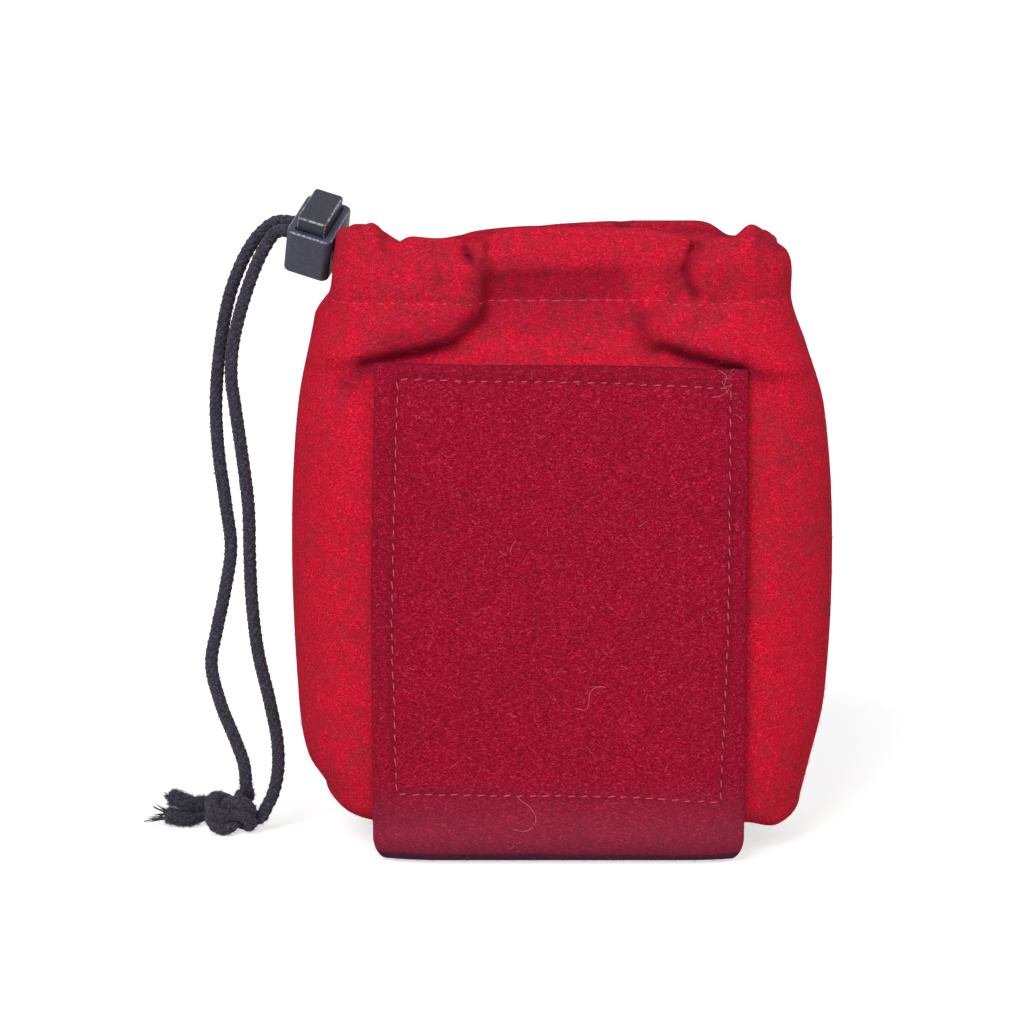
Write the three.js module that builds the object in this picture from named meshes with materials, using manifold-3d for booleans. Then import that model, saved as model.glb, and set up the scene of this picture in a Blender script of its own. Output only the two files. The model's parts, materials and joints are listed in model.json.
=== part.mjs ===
// Drawstring pouch: a stuffed cloth pouch that stands on a folded felt strip, closed by one
// cord in a hemmed channel, with a push-button cord lock and a knot that joins the two ends.
// Millimetres. X to the right, Y to the back, Z up. The pouch stands on Z = 0 and its front
// faces -Y. The origin lies under the middle of the pouch.
import * as THREE from 'three';
import { mergeVertices } from 'three/addons/utils/BufferGeometryUtils.js';
import Module from 'manifold-3d';

const wasm = await Module();
wasm.setup();

// Driving dimensions
const GAP = 0.3;
const CLOTH = 2.0;
const SEAM_GAP = 0.3;

const FELT_THICKNESS = 3.0;
const FELT_WIDTH = 87.0;
const FELT_DROP = 14.1;
const FELT_SEAT = 0.7;

const RIM_HEIGHT = 148.4;
const RIM_FOLD_RADIUS = 2.0;
const HEM_DEPTH = 15.9;
const HEM_PLY = 1.5;
const HEM_TAIL = 1.6;
const CORD_DROP = 7.9;

const BODY_LEFT = 63.1;
const BODY_RIGHT = 65.0;
const BODY_DEPTH = 51.0;
const MOUTH_LEFT = 54.0;
const MOUTH_RIGHT = 50.0;
const MOUTH_DEPTH = 19.2;
const BASE_FOLD_RADIUS = 6.0;
const BASE_LIFT = 4.9;
const CORNER_SAG = 2.8;
const LEFT_CORNER_LIFT = 4.2;
const SECTION_POWER = 2.2;
const FLAT_SHARE = 0.56;
const LEFT_ROOM = 2.2;
const PLEAT_DEPTH = 3.2;
const PLEAT_LEFT = -14.0;
const PLEAT_RIGHT = 26.0;
const PLEAT_EASE = 11.0;
const GATHER_BELOW = 20.5;
const GATHER_ABOVE = 3.5;
const NOTCH_BELOW = 5.5;
const NOTCH_ABOVE = 4.5;
const CORNER_EASE = 6.5;
const SAG_EASE = 9.0;
const LEFT_CORNER_EASE = 11.0;

const CORD_DIAMETER = 3.0;
const CORD_SIDES = 8;
const CORD_STEP = 7.2;
const LOOP_STEP = 3.75;

const LOCK_WIDTH = 11.2;
const LOCK_DEPTH = 15.2;
const LOCK_HEIGHT = 12.3;
const LOCK_FLOOR = 1.0;
const LOCK_CORNER = 1.9;
const LOCK_EDGE = 0.7;
const CORD_PITCH = 3.5;
const CORD_HEIGHT_IN_LOCK = 7.05;
const CORD_CLEARANCE = 0.15;
const HOLE_ROOM_BELOW = 2.9;
const HOLE_ROOM_ACROSS = 2.8;
const PLUNGER_WIDTH = 7.2;
const PLUNGER_DEPTH = 12.0;
const PLUNGER_CLEARANCE = 0.2;
const PLUNGER_CORNER = 0.9;
const PLUNGER_ROOM_ACROSS = 2.2;
const PLUNGER_RISE = 3.6;
const PLUNGER_EDGE = 0.5;
const PRESS_TRAVEL = 2.2;
const PLUNGER_BAR = 1.0;
const SPRING_WIRE = 0.35;
const SPRING_RADIUS = 2.3;
const SPRING_TURNS = 3;

// Derived places
const BASE_HEIGHT = FELT_THICKNESS + GAP;
const FOLD_HEIGHT = BASE_HEIGHT + BASE_FOLD_RADIUS;
const CHANNEL_STITCH = RIM_HEIGHT - HEM_DEPTH;
const CORD_LEVEL = RIM_HEIGHT - CORD_DROP;
const CORD_RADIUS = CORD_DIAMETER / 2;
const CHANNEL_DEPTH = CORD_DIAMETER + 5 * GAP;
const RIM_ROLL_CENTRE = RIM_HEIGHT - RIM_FOLD_RADIUS;
const CHANNEL_LOW = CHANNEL_STITCH + 1.5;
const CHANNEL_MIDDLE = (CHANNEL_STITCH + CORD_LEVEL) / 2;
const CHANNEL_HIGH = (CORD_LEVEL + RIM_ROLL_CENTRE) / 2;
const CHANNEL_TOP = RIM_ROLL_CENTRE - 0.8;
const FELT_TOP = CHANNEL_STITCH - FELT_DROP;

const matt = (color, roughness) => new THREE.MeshStandardMaterial({ color, roughness, metalness: 0 });
const red = matt(0xc62438, 0.95);
const crimson = matt(0x9e1a34, 0.95);
const black = matt(0x2a2833, 0.85);
const plastic = matt(0x33333c, 0.5);
const steel = new THREE.MeshStandardMaterial({ color: 0xb9bcc0, roughness: 0.35, metalness: 0.9 });

// The cloth bulges more on its right, and the origin lies under the middle of its width
const BULGE_SHIFT = 0.95;

const pouch = new THREE.Group();
pouch.position.x = -BULGE_SHIFT;

function place(name, geometry, material, parent = pouch) {
  const mesh = new THREE.Mesh(geometry, material);
  mesh.name = name;
  parent.add(mesh);
  return mesh;
}

function toSolid(geometry) {
  const plain = geometry.clone();
  plain.deleteAttribute('normal');
  plain.deleteAttribute('uv');
  const merged = mergeVertices(plain, 1e-4);
  return new wasm.Manifold(new wasm.Mesh({
    numProp: 3,
    vertProperties: new Float32Array(merged.attributes.position.array),
    triVerts: new Uint32Array(merged.index.array),
  }));
}

function toGeometry(solid) {
  const mesh = solid.getMesh();
  const geometry = new THREE.BufferGeometry();
  geometry.setAttribute('position', new THREE.BufferAttribute(new Float32Array(mesh.vertProperties), 3));
  geometry.setIndex(new THREE.BufferAttribute(new Uint32Array(mesh.triVerts), 1));
  return geometry;
}

// A smooth rise from 0 to 1 between two values
function rise(value, from, to) {
  const t = Math.min(1, Math.max(0, (value - from) / (to - from)));
  return t * t * (3 - 2 * t);
}

// A bump of height 1 at the middle that fades over its half-width
function bump(value, middle, halfWidth) {
  const t = (value - middle) / halfWidth;
  return Math.exp(-t * t);
}

// Reads a value off a smooth curve through [height, value] pairs
function profileAt(pairs, height) {
  let i = 0;
  while (i < pairs.length - 2 && height > pairs[i + 1][0]) i += 1;
  const [h0, v0] = pairs[i];
  const [h1, v1] = pairs[i + 1];
  const before = pairs[Math.max(0, i - 1)];
  const after = pairs[Math.min(pairs.length - 1, i + 2)];
  const slope0 = (v1 - before[1]) / (h1 - before[0]);
  const slope1 = (after[1] - v0) / (after[0] - h0);
  const t = Math.min(1, Math.max(0, (height - h0) / (h1 - h0)));
  const span = h1 - h0;
  const a = 2 * t ** 3 - 3 * t ** 2 + 1;
  const b = t ** 3 - 2 * t ** 2 + t;
  const c = -2 * t ** 3 + 3 * t ** 2;
  const d = t ** 3 - t ** 2;
  return a * v0 + b * span * slope0 + c * v1 + d * span * slope1;
}

// A height on the stuffed body, from 0 where the base curves up to 1 at the channel's stitch
const bodyAt = (share) => FOLD_HEIGHT + share * (CHANNEL_STITCH - FOLD_HEIGHT);

// The stuffed outline against height, from shares of the body's height and of its greatest size
const outline = (shares, size) => shares.map(([height, share]) => [bodyAt(height), share * size]);
const LEFT_SIDE = [
  ...outline([[0, 0.88], [0.07, 0.946], [0.22, 0.981], [0.52, 1], [0.78, 0.973], [0.955, 0.908]], BODY_LEFT),
  [CORD_LEVEL, MOUTH_LEFT + 1.4], [RIM_HEIGHT, MOUTH_LEFT],
];
const RIGHT_SIDE = [
  ...outline([[0, 0.894], [0.07, 0.923], [0.22, 0.979], [0.52, 1], [0.78, 0.964]], BODY_RIGHT),
  ...outline([[0.9, 0.897], [0.985, 0.842]], BODY_RIGHT),
  [CORD_LEVEL, MOUTH_RIGHT + 4.3], [RIM_HEIGHT, MOUTH_RIGHT],
];
const HALF_DEPTH = [
  ...outline([[0, 0.985], [0.17, 1], [0.41, 1], [0.655, 0.918], [0.82, 0.79], [0.94, 0.62]], BODY_DEPTH / 2),
  [CHANNEL_STITCH, MOUTH_DEPTH / 2 + 4],
  [CORD_LEVEL, MOUTH_DEPTH / 2 + 3.2],
  [RIM_HEIGHT, MOUTH_DEPTH / 2],
];
const END_ROUND = [
  [bodyAt(0), 29], [bodyAt(0.41), 33], [bodyAt(0.78), 26], [bodyAt(0.94), 18],
  [CORD_LEVEL, 11], [RIM_HEIGHT, 9],
];

// The middle of the front is set back between its gathers, like an inverted pleat
function pleat(x) {
  const intoLeft = rise(x, PLEAT_LEFT - PLEAT_EASE, PLEAT_LEFT);
  const outRight = rise(x, PLEAT_RIGHT, PLEAT_RIGHT + PLEAT_EASE);
  return PLEAT_DEPTH * intoLeft * (1 - outRight);
}

// What tells the two halves of the pouch apart. Each wave of the rim is [middle, half-width, lift],
// and the cord dips under the deepest one.
const FRONT = {
  side: -1,
  setBack: pleat,
  shallower: 0,
  leftShorter: 0,
  leftNotch: 4.6,
  cordDip: 0,
  waves: [
    [-45, 4.4, 1.7], [-38.8, 3.2, -2.0], [-29, 8, -1.8], [-18.5, 5, -2.4],
    [26, 5, -1.0], [32.5, 4.5, -2.6], [40, 2.8, -1.6], [45.2, 3.6, 1.5], [53, 6, -2.4],
  ],
};
const BACK = {
  side: 1,
  setBack: (x) => PLEAT_DEPTH / 4 * bump(x, 8, 18),
  shallower: 1.2,
  leftShorter: 5.5,
  leftNotch: 1.2,
  cordDip: 1.9,
  waves: [
    [-36, 6.3, -4.8], [-27, 5, -1.5], [-24, 10, -2.0], [-9, 15, -1.25],
    [40.6, 4.2, -3.0], [46.5, 5, -1.9], [53, 6, -2.0],
  ],
};

// How far the gathers of the mouth have taken hold at a height
const gathered = (height) => rise(height, CHANNEL_STITCH - GATHER_BELOW, CHANNEL_STITCH + GATHER_ABOVE);

// The side seam is drawn in beside the lock
const notched = (height) => rise(height, CHANNEL_STITCH - NOTCH_BELOW, CHANNEL_STITCH + NOTCH_ABOVE);

// The rim rises and dips with the gathers
function rimLift(half, x, height) {
  let wave = 0;
  for (const [middle, halfWidth, lift] of half.waves) wave += lift * bump(x, middle, halfWidth);
  return wave * rise(height, CORD_LEVEL, RIM_ROLL_CENTRE) ** 1.5;
}

// The bottom corners beside the felt stay off the ground and sag outwards, the left one less
function cornerLift(x, z) {
  const edge = FELT_WIDTH / 2;
  const beside = BASE_LIFT * rise(Math.abs(x), edge - CORNER_EASE, edge);
  const sag = CORNER_SAG * rise(Math.abs(x), edge, edge + SAG_EASE);
  const atLeft = LEFT_CORNER_LIFT * rise(-x, edge, edge + LEFT_CORNER_EASE);
  return (beside - sag + atLeft) * (1 - rise(z, BASE_HEIGHT, bodyAt(0.22)));
}

// How far one end of a half's cross-section reaches out from the middle
function sideReach(half, onLeft, height) {
  const shorter = onLeft ? half.leftShorter * gathered(height) : 0;
  return profileAt(onLeft ? LEFT_SIDE : RIGHT_SIDE, height) - shorter;
}

// A point of the outer cloth surface, or of a layer that lies inset from it. Column runs from
// -1 at the left seam to 1 at the right seam. The middle is flat, the ends are rounded.
function clothPoint(half, column, height, inset, z) {
  const onLeft = column < 0;
  const hold = gathered(height);
  const endRound = profileAt(END_ROUND, height);
  const flat = sideReach(half, onLeft, height) - endRound;
  const depth = profileAt(HALF_DEPTH, height) - half.shallower * hold - inset;
  const reach = Math.abs(column);
  let x = flat * reach / FLAT_SHARE;
  let y = depth;
  if (reach > FLAT_SHARE) {
    const angle = (reach - FLAT_SHARE) / (1 - FLAT_SHARE) * Math.PI / 2;
    const notch = onLeft ? half.leftNotch * notched(height) * Math.sin(angle) ** 8 : 0;
    const room = onLeft ? LEFT_ROOM * hold * Math.sin(angle) ** 2 * rise(inset, 2.5, 6) : 0;
    x = flat + (endRound - inset) * Math.sin(angle) ** (2 / SECTION_POWER) - notch - room;
    y = depth * Math.max(0, Math.cos(angle)) ** (2 / SECTION_POWER);
  }
  x *= onLeft ? -1 : 1;
  y -= half.setBack(x) * hold * Math.min(1, y / 6);
  const lift = rimLift(half, x, height) + cornerLift(x, z);
  return new THREE.Vector3(x, half.side * (SEAM_GAP / 2 + Math.max(0, y)), z + lift);
}

// The stations of the cloth's cross-section, each as [height it follows, inset, z]
const WALL_HEIGHTS = [0.05, 0.12, 0.24, 0.38, 0.52, 0.66, 0.77, 0.85, 0.91, 0.955].map(bodyAt);

function wallStations(inset) {
  return WALL_HEIGHTS.map((height) => [height, inset, height]);
}

function baseStations(inset) {
  const halfDepth = profileAt(HALF_DEPTH, FOLD_HEIGHT);
  const stations = [];
  for (const share of [1, 0.75, 0.5, 0.25]) {
    const reach = BASE_FOLD_RADIUS + (halfDepth - BASE_FOLD_RADIUS) * share;
    stations.push([FOLD_HEIGHT, reach, BASE_HEIGHT + inset]);
  }
  for (let step = 4; step >= 0; step -= 1) {
    const angle = step / 4 * Math.PI / 2;
    const radius = BASE_FOLD_RADIUS - inset;
    const z = FOLD_HEIGHT - radius * Math.sin(angle);
    stations.push([FOLD_HEIGHT, BASE_FOLD_RADIUS - radius * Math.cos(angle), z]);
  }
  return stations;
}

// The channel widens to hold the cord and closes on the stitch line below it
function channelInset(height) {
  const away = (height - CORD_LEVEL) / (CORD_LEVEL - CHANNEL_STITCH);
  return CHANNEL_DEPTH * Math.sqrt(Math.max(0, 1 - away ** 2));
}

// The outline of the cloth with its hem turned in, from the base's middle up and back down
function skinStations() {
  const stations = [...baseStations(0), ...wallStations(0)];
  for (const height of [CHANNEL_STITCH, CHANNEL_MIDDLE, CORD_LEVEL, CHANNEL_HIGH]) {
    stations.push([height, 0, height]);
  }
  for (let step = 0; step <= 4; step += 1) {
    const angle = step / 4 * Math.PI;
    const inset = RIM_FOLD_RADIUS * (1 - Math.cos(angle));
    stations.push([RIM_ROLL_CENTRE, inset, RIM_ROLL_CENTRE + RIM_FOLD_RADIUS * Math.sin(angle)]);
  }
  for (const height of [CHANNEL_HIGH, CORD_LEVEL, CHANNEL_MIDDLE, CHANNEL_LOW]) {
    stations.push([height, CLOTH + channelInset(height) + HEM_PLY, height]);
  }
  const hemEdge = CHANNEL_STITCH - HEM_TAIL;
  stations.push([hemEdge, CLOTH + HEM_PLY, hemEdge]);
  stations.push([hemEdge, CLOTH, hemEdge]);
  return [...stations, ...wallStations(CLOTH).reverse(), ...baseStations(CLOTH).reverse()];
}

// The outline of the channel that the cord runs in
function channelStations() {
  const stations = [];
  for (const height of [CHANNEL_LOW, CHANNEL_MIDDLE, CORD_LEVEL, CHANNEL_HIGH]) {
    stations.push([height, CLOTH, height]);
  }
  stations.push([CHANNEL_TOP, CLOTH + 0.4, CHANNEL_TOP]);
  for (const height of [CHANNEL_HIGH, CORD_LEVEL, CHANNEL_MIDDLE]) {
    stations.push([height, CLOTH + channelInset(height), height]);
  }
  return stations;
}

function sweepColumns() {
  const columns = [];
  const flatColumns = 16;
  const endColumns = 7;
  for (let i = endColumns; i > 0; i -= 1) columns.push(-FLAT_SHARE - (1 - FLAT_SHARE) * i / endColumns);
  for (let i = 0; i <= flatColumns; i += 1) columns.push(-FLAT_SHARE + 2 * FLAT_SHARE * i / flatColumns);
  for (let i = 1; i <= endColumns; i += 1) columns.push(FLAT_SHARE + (1 - FLAT_SHARE) * i / endColumns);
  return columns;
}

// Joins matching closed loops from column to column and closes both ends with flat caps.
// loops[which][column] is a list of points, the first loop is the outline and the rest are holes.
function sweep(loops, capX, capY) {
  const positions = [];
  const faces = [];
  const starts = [];
  for (const columns of loops) {
    starts.push(positions.length / 3);
    for (const points of columns) {
      for (const p of points) positions.push(p.x, p.y, p.z);
    }
  }
  loops.forEach((columns, which) => {
    const count = columns[0].length;
    for (let c = 0; c < columns.length - 1; c += 1) {
      for (let s = 0; s < count; s += 1) {
        const a = starts[which] + c * count + s;
        const b = starts[which] + c * count + (s + 1) % count;
        faces.push([a, b, b + count], [a, b + count, a + count]);
      }
    }
  });
  for (const column of [0, loops[0].length - 1]) {
    const rings = loops.map((columns, which) => columns[column].map((p, s) => ({
      index: starts[which] + column * columns[0].length + s,
      point: new THREE.Vector2(p[capX], p[capY]),
    })));
    const [contour, ...holes] = rings.map((ring) => ring.map((entry) => entry.point));
    const corners = rings.flat();
    for (const face of THREE.ShapeUtils.triangulateShape(contour, holes)) {
      faces.push(face.map((corner) => corners[corner].index));
    }
  }
  return buildGeometry(positions, faces);
}

// Turns faces so that neighbours agree and the whole points outwards
function orient(positions, faces) {
  const edges = new Map();
  faces.forEach((face, f) => {
    for (let e = 0; e < 3; e += 1) {
      const key = [face[e], face[(e + 1) % 3]].sort((p, q) => p - q).join(' ');
      if (!edges.has(key)) edges.set(key, []);
      edges.get(key).push(f);
    }
  });
  const done = new Set([0]);
  const queue = [0];
  const runs = (face, from, to) => face.some((corner, e) => corner === from && face[(e + 1) % 3] === to);
  while (queue.length) {
    const face = faces[queue.pop()];
    for (let e = 0; e < 3; e += 1) {
      const [from, to] = [face[e], face[(e + 1) % 3]];
      for (const other of edges.get([from, to].sort((p, q) => p - q).join(' '))) {
        if (done.has(other)) continue;
        if (runs(faces[other], from, to)) faces[other].reverse();
        done.add(other);
        queue.push(other);
      }
    }
  }
  let volume = 0;
  const corner = (i) => new THREE.Vector3(positions[3 * i], positions[3 * i + 1], positions[3 * i + 2]);
  for (const [a, b, c] of faces) volume += corner(a).dot(corner(b).cross(corner(c)));
  if (volume < 0) faces.forEach((face) => face.reverse());
  return faces;
}

function buildGeometry(positions, faces) {
  const geometry = new THREE.BufferGeometry();
  geometry.setAttribute('position', new THREE.Float32BufferAttribute(positions, 3));
  geometry.setIndex(orient(positions, faces).flat());
  return geometry;
}

// The lock's own axes: cord through it, then sideways, then the button's axis
const buttonAxis = new THREE.Vector3(0.108, -0.53, 0.841).normalize();
const cordAxis = new THREE.Vector3(0.937, -0.228, -0.264);
cordAxis.addScaledVector(buttonAxis, -cordAxis.dot(buttonAxis)).normalize();
const sideAxis = new THREE.Vector3().crossVectors(buttonAxis, cordAxis);

// Midway between the two cords where they leave the channel and enter the lock
const LOCK_ENTRY = new THREE.Vector3(2.8 - MOUTH_LEFT, 0.15, CORD_LEVEL + 3.7);

const lock = new THREE.Group();
lock.setRotationFromMatrix(new THREE.Matrix4().makeBasis(cordAxis, sideAxis, buttonAxis));
lock.position.copy(LOCK_ENTRY);
lock.position.addScaledVector(cordAxis, -LOCK_WIDTH / 2).addScaledVector(buttonAxis, -CORD_HEIGHT_IN_LOCK);
pouch.add(lock);
lock.updateMatrix();

const inLock = (x, y, z) => new THREE.Vector3(x, y, z).applyMatrix4(lock.matrix);

function roundedRectangle(width, depth, corner) {
  const shape = new THREE.Shape();
  const x = width / 2;
  const y = depth / 2;
  shape.moveTo(-x + corner, -y);
  shape.lineTo(x - corner, -y);
  shape.absarc(x - corner, -y + corner, corner, -Math.PI / 2, 0);
  shape.lineTo(x, y - corner);
  shape.absarc(x - corner, y - corner, corner, 0, Math.PI / 2);
  shape.lineTo(-x + corner, y);
  shape.absarc(-x + corner, y - corner, corner, Math.PI / 2, Math.PI);
  shape.lineTo(-x, -y + corner);
  shape.absarc(-x + corner, -y + corner, corner, Math.PI, 1.5 * Math.PI);
  return shape;
}

// An upright block with rounded corners and rounded top and bottom edges
function roundedBlock(width, depth, from, to, corner, edge) {
  const shape = roundedRectangle(width - 2 * edge, depth - 2 * edge, Math.max(0.05, corner - edge));
  const geometry = new THREE.ExtrudeGeometry(shape, {
    depth: to - from - 2 * edge,
    bevelEnabled: true,
    bevelThickness: edge,
    bevelSize: edge,
    bevelSegments: 3,
    curveSegments: 4,
  });
  geometry.translate(0, 0, from + edge);
  return geometry;
}

function plainBlock(width, depth, from, to) {
  const geometry = new THREE.BoxGeometry(width, depth, to - from);
  geometry.translate(0, 0, (from + to) / 2);
  return geometry;
}

// A round-ended bar that lies along the cord axis, used to cut the cord holes
function slotBar(span, low, high, length, middle) {
  const radius = (high - low) / 2;
  const reach = span / 2 - radius;
  const shape = new THREE.Shape();
  shape.absarc(reach, 0, radius, -Math.PI / 2, Math.PI / 2);
  shape.absarc(-reach, 0, radius, Math.PI / 2, 1.5 * Math.PI);
  const options = { depth: length, bevelEnabled: false, curveSegments: 6 };
  const geometry = new THREE.ExtrudeGeometry(shape, options);
  geometry.translate(0, 0, -length / 2);
  geometry.applyMatrix4(new THREE.Matrix4().makeBasis(
    new THREE.Vector3(0, 1, 0),
    new THREE.Vector3(0, 0, 1),
    new THREE.Vector3(1, 0, 0),
  ));
  geometry.translate(middle, 0, (low + high) / 2);
  return geometry;
}

const HOLE_TOP = CORD_HEIGHT_IN_LOCK + CORD_RADIUS + CORD_CLEARANCE;
const HOLE_BOTTOM = HOLE_TOP - CORD_DIAMETER - HOLE_ROOM_BELOW;
const HOLE_SPAN = CORD_PITCH + CORD_DIAMETER + HOLE_ROOM_ACROSS;
const PLUNGER_HOLE_BOTTOM = CORD_HEIGHT_IN_LOCK - CORD_RADIUS - CORD_CLEARANCE;
const PLUNGER_HOLE_TOP = HOLE_TOP + PRESS_TRAVEL;
const PLUNGER_HOLE_SPAN = CORD_PITCH + CORD_DIAMETER + PLUNGER_ROOM_ACROSS;

function lockHousing() {
  const cavity = plainBlock(
    PLUNGER_WIDTH + 2 * PLUNGER_CLEARANCE,
    PLUNGER_DEPTH + 2 * PLUNGER_CLEARANCE,
    LOCK_FLOOR,
    LOCK_HEIGHT + 1,
  );
  const hole = slotBar(HOLE_SPAN, HOLE_BOTTOM, HOLE_TOP, LOCK_WIDTH + 4, 0);
  const body = toSolid(roundedBlock(LOCK_WIDTH, LOCK_DEPTH, 0, LOCK_HEIGHT, LOCK_CORNER, LOCK_EDGE));
  return toGeometry(body.subtract(toSolid(cavity)).subtract(toSolid(hole)));
}

function lockPlunger() {
  const bottom = PLUNGER_HOLE_BOTTOM - PLUNGER_BAR;
  const top = LOCK_HEIGHT + PLUNGER_RISE;
  const outer = roundedBlock(PLUNGER_WIDTH, PLUNGER_DEPTH, bottom, top, PLUNGER_CORNER, PLUNGER_EDGE);
  const hole = plainBlock(PLUNGER_WIDTH + 2, PLUNGER_HOLE_SPAN, PLUNGER_HOLE_BOTTOM, PLUNGER_HOLE_TOP);
  return toGeometry(toSolid(outer).subtract(toSolid(hole)));
}

class Coil extends THREE.Curve {
  constructor(radius, low, high, turns) {
    super();
    Object.assign(this, { radius, low, high, turns });
  }

  getPoint(t, target = new THREE.Vector3()) {
    const angle = 2 * Math.PI * this.turns * t;
    const height = this.low + (this.high - this.low) * t;
    return target.set(this.radius * Math.cos(angle), this.radius * Math.sin(angle), height);
  }
}

function ring(radius, sides) {
  const shape = new THREE.Shape();
  for (let i = 0; i < sides; i += 1) {
    const angle = 2 * Math.PI * (i + 0.5) / sides;
    const [x, y] = [radius * Math.cos(angle), radius * Math.sin(angle)];
    if (i === 0) shape.moveTo(x, y);
    else shape.lineTo(x, y);
  }
  return shape;
}

function tube(curve, radius, sides, steps) {
  return new THREE.ExtrudeGeometry(ring(radius, sides), { steps, extrudePath: curve, bevelEnabled: false });
}

function lockSpring() {
  const low = LOCK_FLOOR + GAP / 2 + SPRING_WIRE / 2;
  const high = PLUNGER_HOLE_BOTTOM - PLUNGER_BAR - GAP / 2 - SPRING_WIRE / 2;
  return tube(new Coil(SPRING_RADIUS, low, high, SPRING_TURNS), SPRING_WIRE / 2, 6, SPRING_TURNS * 10);
}

// The two cords lie side by side in the lock, the rear one on the +side
function laceInLock(sideways, along) {
  return inLock(along, sideways * CORD_PITCH / 2, CORD_HEIGHT_IN_LOCK);
}

const EXIT_ALONG = 7.2;
const SLIT_LENGTH = 9;
const SLIT_MIDDLE = 10;

// Free stretches of the cord, from the channel through the lock and down to the knot
const REAR_TAIL_ROUTE = [
  [-66.6, 6.7, 148.0], [-70.5, 7.5, 144.9], [-73.6, 7.6, 140.4], [-75.9, 7.4, 135.4], [-77.9, 7.1, 129.4],
  [-80.1, 6.6, 117.2], [-81.1, 6.1, 104.6], [-80.6, 5.5, 93.0], [-79.0, 5.0, 80.4], [-77.9, 4.7, 70.0],
  [-79.4, 4.4, 59.8], [-81.5, 4.1, 50.0], [-82.9, 3.9, 41.6], [-80.8, 3.7, 32.0], [-77.0, 3.5, 22.0],
  [-75.5, 3.5, 17.5], [-75.1, 3.5, 15.0], [-75.0, 3.5, 13.5],
];
const FRONT_TAIL_ROUTE = [
  [-66.3, 2.7, 146.15], [-69.1, 3.08, 142.3], [-71.5, 3.2, 137.2], [-73.3, 3.2, 132.3], [-75.0, 3.1, 126.8],
  [-76.7, 2.9, 119.4], [-77.2, 2.7, 111.6], [-76.4, 2.6, 104.8], [-74.9, 2.4, 93.4], [-73.5, 2.3, 80.6],
  [-73.3, 2.2, 68.0], [-72.9, 2.2, 57.2], [-71.6, 2.4, 45.0], [-68.9, 2.6, 32.4], [-67.2, 2.8, 22.4],
  [-67.3, 3.0, 14.6], [-68.6, 3.1, 9.2], [-69.7, 3.16, 7.0], [-70.4, 3.2, 5.6],
];
const KNOT_CENTRE = new THREE.Vector3(-78.5, 3.2, 5.25);

function routeCurve(points) {
  return new THREE.CatmullRomCurve3(points, false, 'centripetal');
}

function cordTube(points, step = CORD_STEP) {
  const curve = routeCurve(points);
  return tube(curve, CORD_RADIUS, CORD_SIDES, Math.max(2, Math.ceil(curve.getLength() / step)));
}

const toVectors = (list) => list.map(([x, y, z]) => new THREE.Vector3(x, y, z));

function tailRoute(sideways, route) {
  const start = [EXIT_ALONG - GAP / 2, 2, -2, -5, -7].map((along) => laceInLock(sideways, along));
  return [...start, ...toVectors(route)];
}

// The column round which the cord dips in the back half, and the half-width of the dip
const CORD_DIP_COLUMN = -0.48;
const CORD_DIP_WIDTH = 0.22;

// The part of the cord inside the channel, from one exit round the mouth to the other
function channelRoute() {
  const middle = CLOTH + CHANNEL_DEPTH / 2;
  const along = (half, columns) => columns.map((column) => {
    const level = CORD_LEVEL - half.cordDip * bump(column, CORD_DIP_COLUMN, CORD_DIP_WIDTH);
    return clothPoint(half, column, CORD_LEVEL, middle, level);
  });
  const front = along(FRONT, [
    -0.82, -0.75, -0.67, -0.57, -0.44, -0.31, -0.25, -0.19, 0, 0.18, 0.34, 0.41, 0.48, 0.6, 0.72, 0.84, 0.94,
  ]);
  const back = along(BACK, [
    0.94, 0.84, 0.72, 0.6, 0.45, 0.3, 0.15, 0, -0.15, -0.3, -0.45, -0.58, -0.68, -0.78, -0.87,
  ]);
  const startIn = [EXIT_ALONG + GAP / 2, EXIT_ALONG + 1.2].map((reach) => laceInLock(-1, reach));
  const endOut = [EXIT_ALONG + 2.2, EXIT_ALONG + GAP / 2].map((reach) => laceInLock(1, reach));
  const turnIn = new THREE.Vector3(6.4 - MOUTH_LEFT, -3.2, CORD_LEVEL + 1.2);
  const turnOut = new THREE.Vector3(9.4 - MOUTH_LEFT, 0.6, CORD_LEVEL + 2.2);
  return [...startIn, turnIn, ...front, ...back, turnOut, ...endOut];
}

// One turn of an overhand knot: in from the right, through its own loop, out to the left
const KNOT_SPREAD = 1.7;
const KNOT_HEIGHT = 1.8;
const KNOT_STACK = 1.5;

function knotTurn(stack) {
  const points = [];
  const from = Math.PI + 0.6;
  const to = 3 * Math.PI - 0.6;
  for (let i = 0; i <= 16; i += 1) {
    const t = from + (to - from) * i / 16;
    points.push(new THREE.Vector3(
      KNOT_SPREAD * (Math.sin(t) + 2 * Math.sin(2 * t)),
      -KNOT_SPREAD * (Math.cos(t) - 2 * Math.cos(2 * t)),
      -KNOT_HEIGHT * Math.sin(3 * t) + stack,
    ));
  }
  return points;
}

function knotStrand(stack, entry) {
  const leave = toVectors([[-3.4, 4.9, stack - 0.1], [-6.2, 5.0, stack - 0.55]]);
  return [...toVectors(entry), ...knotTurn(stack), ...leave].map((p) => p.add(KNOT_CENTRE));
}

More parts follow.
